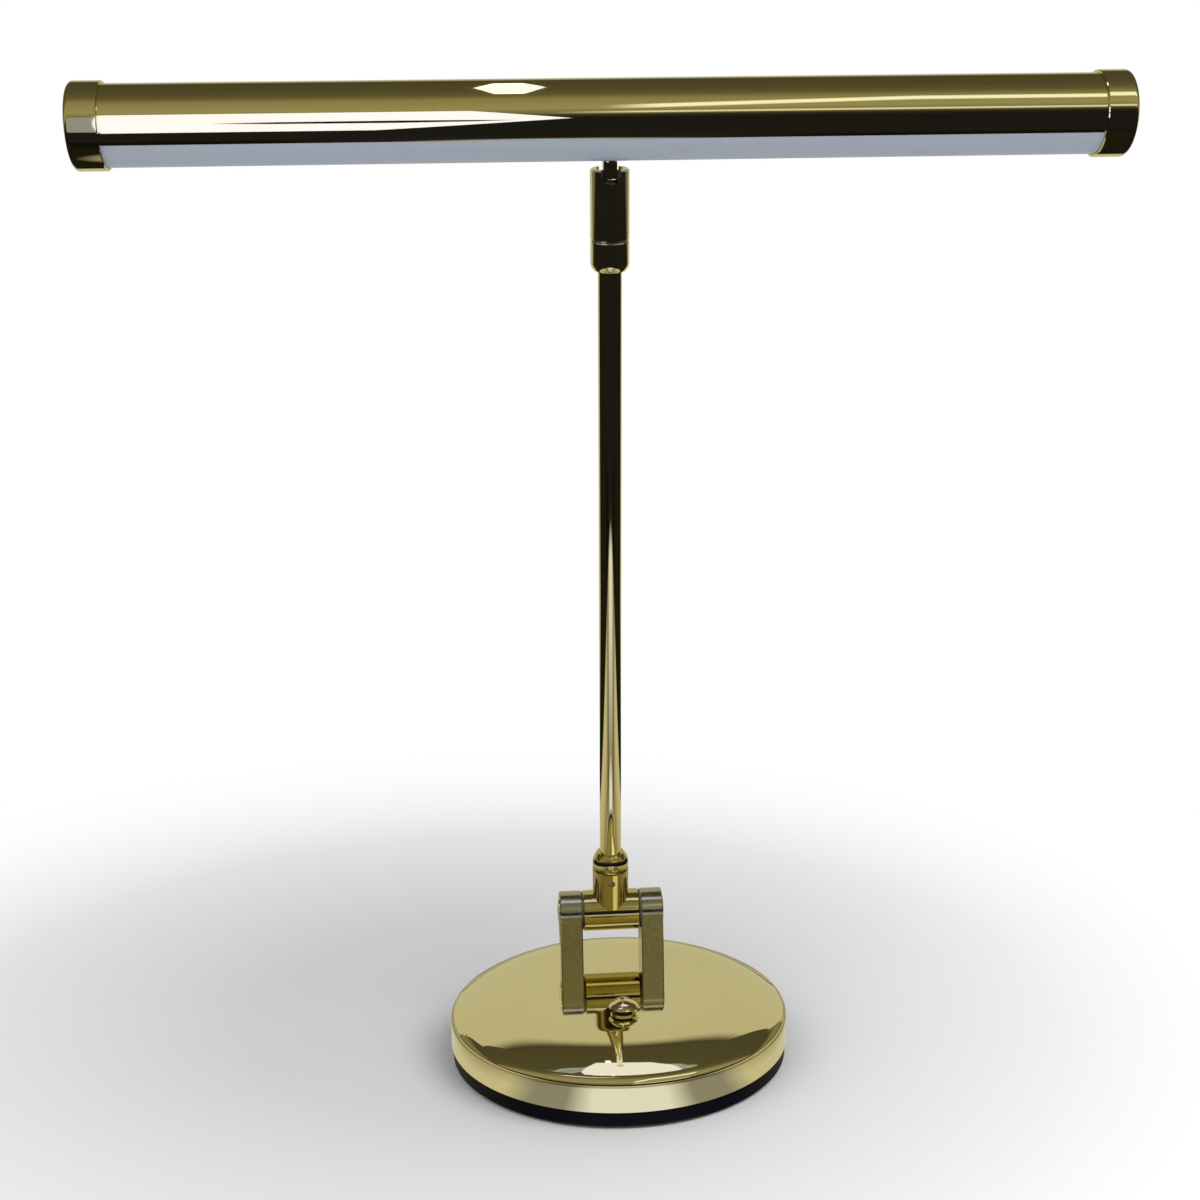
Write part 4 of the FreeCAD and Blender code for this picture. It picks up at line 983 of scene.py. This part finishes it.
@dataclass
class RoomLight:
    """The room that the brass mirrors, by the angle from the back over the top to the front."""

    tree: bpy.types.ShaderNodeTree
    levels: tuple[tuple[float, Colour], ...] = (
        (-180.0, (0.012, 0.011, 0.012)),
        (-60.0, (0.015, 0.014, 0.014)),
        (-2.0, (0.20, 0.19, 0.13)),
        (6.0, (0.24, 0.22, 0.14)),
        (30.0, (0.20, 0.18, 0.11)),
        (42.0, (0.07, 0.06, 0.03)),
        (92.0, (0.09, 0.08, 0.04)),
        (110.0, (0.13, 0.11, 0.05)),
        (126.0, (0.28, 0.25, 0.12)),
        (152.0, (0.34, 0.31, 0.16)),
        (166.0, (0.16, 0.14, 0.08)),
        (172.0, (0.03, 0.025, 0.02)),
        (180.0, (0.012, 0.011, 0.012)),
    )

    def math(self, operation: str, first: object, second: object = None,
             third: object = None) -> bpy.types.NodeSocket:
        """Adds a Math node.

        Args:
            operation: Its operation.
            first: A socket or a number.
            second: A socket or a number.
            third: A socket or a number.

        Returns:
            Its result.
        """
        node = self.tree.nodes.new("ShaderNodeMath")
        node.operation = operation
        for index, item in enumerate((first, second, third)):
            if item is None:
                continue
            if isinstance(item, bpy.types.NodeSocket):
                self.tree.links.new(item, node.inputs[index])
            else:
                node.inputs[index].default_value = float(item)
        return node.outputs[0]

    def band(self, value: bpy.types.NodeSocket, low: float, high: float,
             soft: float) -> bpy.types.NodeSocket:
        """Gives 1 between two limits and 0 outside, with soft edges.

        Args:
            value: What is tested.
            low: Lower limit.
            high: Upper limit.
            soft: Width of each edge.

        Returns:
            The mask.
        """
        rise = self.tree.nodes.new("ShaderNodeMapRange")
        rise.inputs["From Min"].default_value = low - soft / 2
        rise.inputs["From Max"].default_value = low + soft / 2
        fall = self.tree.nodes.new("ShaderNodeMapRange")
        fall.inputs["From Min"].default_value = high - soft / 2
        fall.inputs["From Max"].default_value = high + soft / 2
        fall.inputs["To Min"].default_value = 1.0
        fall.inputs["To Max"].default_value = 0.0
        self.tree.links.new(value, rise.inputs["Value"])
        self.tree.links.new(value, fall.inputs["Value"])
        return self.math("MULTIPLY", rise.outputs["Result"], fall.outputs["Result"])

    def over(self, below: bpy.types.NodeSocket, mask: bpy.types.NodeSocket,
             colour: Colour) -> bpy.types.NodeSocket:
        """Lays a colour over another by a mask."""
        mix = self.tree.nodes.new("ShaderNodeMix")
        mix.data_type = "RGBA"
        mix.inputs["B"].default_value = (*colour, 1.0)
        self.tree.links.new(mask, mix.inputs["Factor"])
        self.tree.links.new(below, mix.inputs["A"])
        return mix.outputs["Result"]

    def colour(self) -> bpy.types.NodeSocket:
        """Builds the room's colour by direction.

        Returns:
            The colour's socket.
        """
        place = self.tree.nodes.new("ShaderNodeTexCoord")
        parts = self.tree.nodes.new("ShaderNodeSeparateXYZ")
        self.tree.links.new(place.outputs["Generated"], parts.inputs[0])
        degrees = 180.0 / math.pi
        turn = self.math("ARCTAN2", parts.outputs["Z"], parts.outputs["Y"])
        turn = self.math("MULTIPLY", turn, degrees)
        aside = self.math("MULTIPLY", self.math("ARCSINE", parts.outputs["X"]), degrees)
        share = self.math("DIVIDE", self.math("ADD", turn, 180.0), 360.0)
        ramp = self.tree.nodes.new("ShaderNodeValToRGB")
        self.tree.links.new(share, ramp.inputs["Fac"])
        fill_ramp(ramp, [((angle + 180.0) / 360.0, tone) for angle, tone in self.levels])
        base = ramp.outputs["Color"]
        forward = self.math("MODULO", self.math("ADD", turn, 360.0), 360.0)
        # A long lamp that slants up to the right, and a thinner one below it
        slope = self.math("MAXIMUM", self.math("MULTIPLY_ADD", aside, -1.7, 157.5), 133.0)
        strip = self.band(self.math("SUBTRACT", forward, slope), -5.0, 5.0, 3.0)
        strip = self.math("MULTIPLY", strip, self.band(aside, 5.2, 40.0, 1.6))
        base = self.over(base, strip, (1.1, 1.09, 0.98))
        thin = self.math("MULTIPLY", self.band(forward, 161.5, 166.0, 2.0),
                         self.band(aside, 4.0, 40.0, 3.0))
        return self.over(base, thin, (0.85, 0.82, 0.62))


@dataclass(frozen=True)
class Viewpoint:
    """The camera of the photograph, fitted to the lamp's own edges."""

    place: Colour = (-0.05010, -0.66316, 0.31917)
    yaw: float = -3.94
    pitch: float = 10.78
    roll: float = 1.09
    focal_pixels: float = 1691.28
    frame_pixels: float = 1200.0
    sensor: float = 36.0

    def build(self) -> bpy.types.Object:
        """Builds the camera and makes it the scene's.

        Returns:
            The camera object.
        """
        yaw, pitch, roll = (math.radians(a) for a in (self.yaw, self.pitch, self.roll))
        ahead = Vector((math.sin(-yaw) * math.cos(pitch), math.cos(yaw) * math.cos(pitch),
                        -math.sin(pitch)))
        right = ahead.cross(Vector((0.0, 0.0, 1.0))).normalized()
        up = right.cross(ahead)
        right_rolled = math.cos(roll) * right - math.sin(roll) * up
        up_rolled = math.sin(roll) * right + math.cos(roll) * up
        data = bpy.data.cameras.new("photo_camera")
        data.sensor_fit = "HORIZONTAL"
        data.sensor_width = self.sensor
        data.lens = self.focal_pixels * self.sensor / self.frame_pixels
        data.clip_start = 0.01
        data.clip_end = 20.0
        camera = bpy.data.objects.new("photo_camera", data)
        turn = Matrix((right_rolled, up_rolled, -ahead)).transposed()
        camera.matrix_world = Matrix.Translation(Vector(self.place)) @ turn.to_4x4()
        bpy.context.scene.collection.objects.link(camera)
        bpy.context.scene.camera = camera
        return camera


def main() -> None:
    """Loads the frame, dresses each sub-assembly, and builds the studio and the camera."""
    logging.basicConfig(level=logging.INFO)
    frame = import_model()
    shelf = FinishShelf()
    shelf.stock()
    base = WeightedBase()
    button = PushButton()
    head = TubeHead()
    for part in (base, button, HingeStand(), LeaningStem(), head):
        part.dress(frame, shelf)
        LOG.info("dressed %s", type(part).__name__)
    for piece in base.build(shelf) + button.build(shelf) + head.build(frame, shelf):
        LOG.info("built %s with %d faces", piece.name, len(piece.data.polygons))
    Studio().build()
    Viewpoint().build()
    bpy.context.scene.view_settings.view_transform = "Standard"


if __name__ == "__main__":
    main()
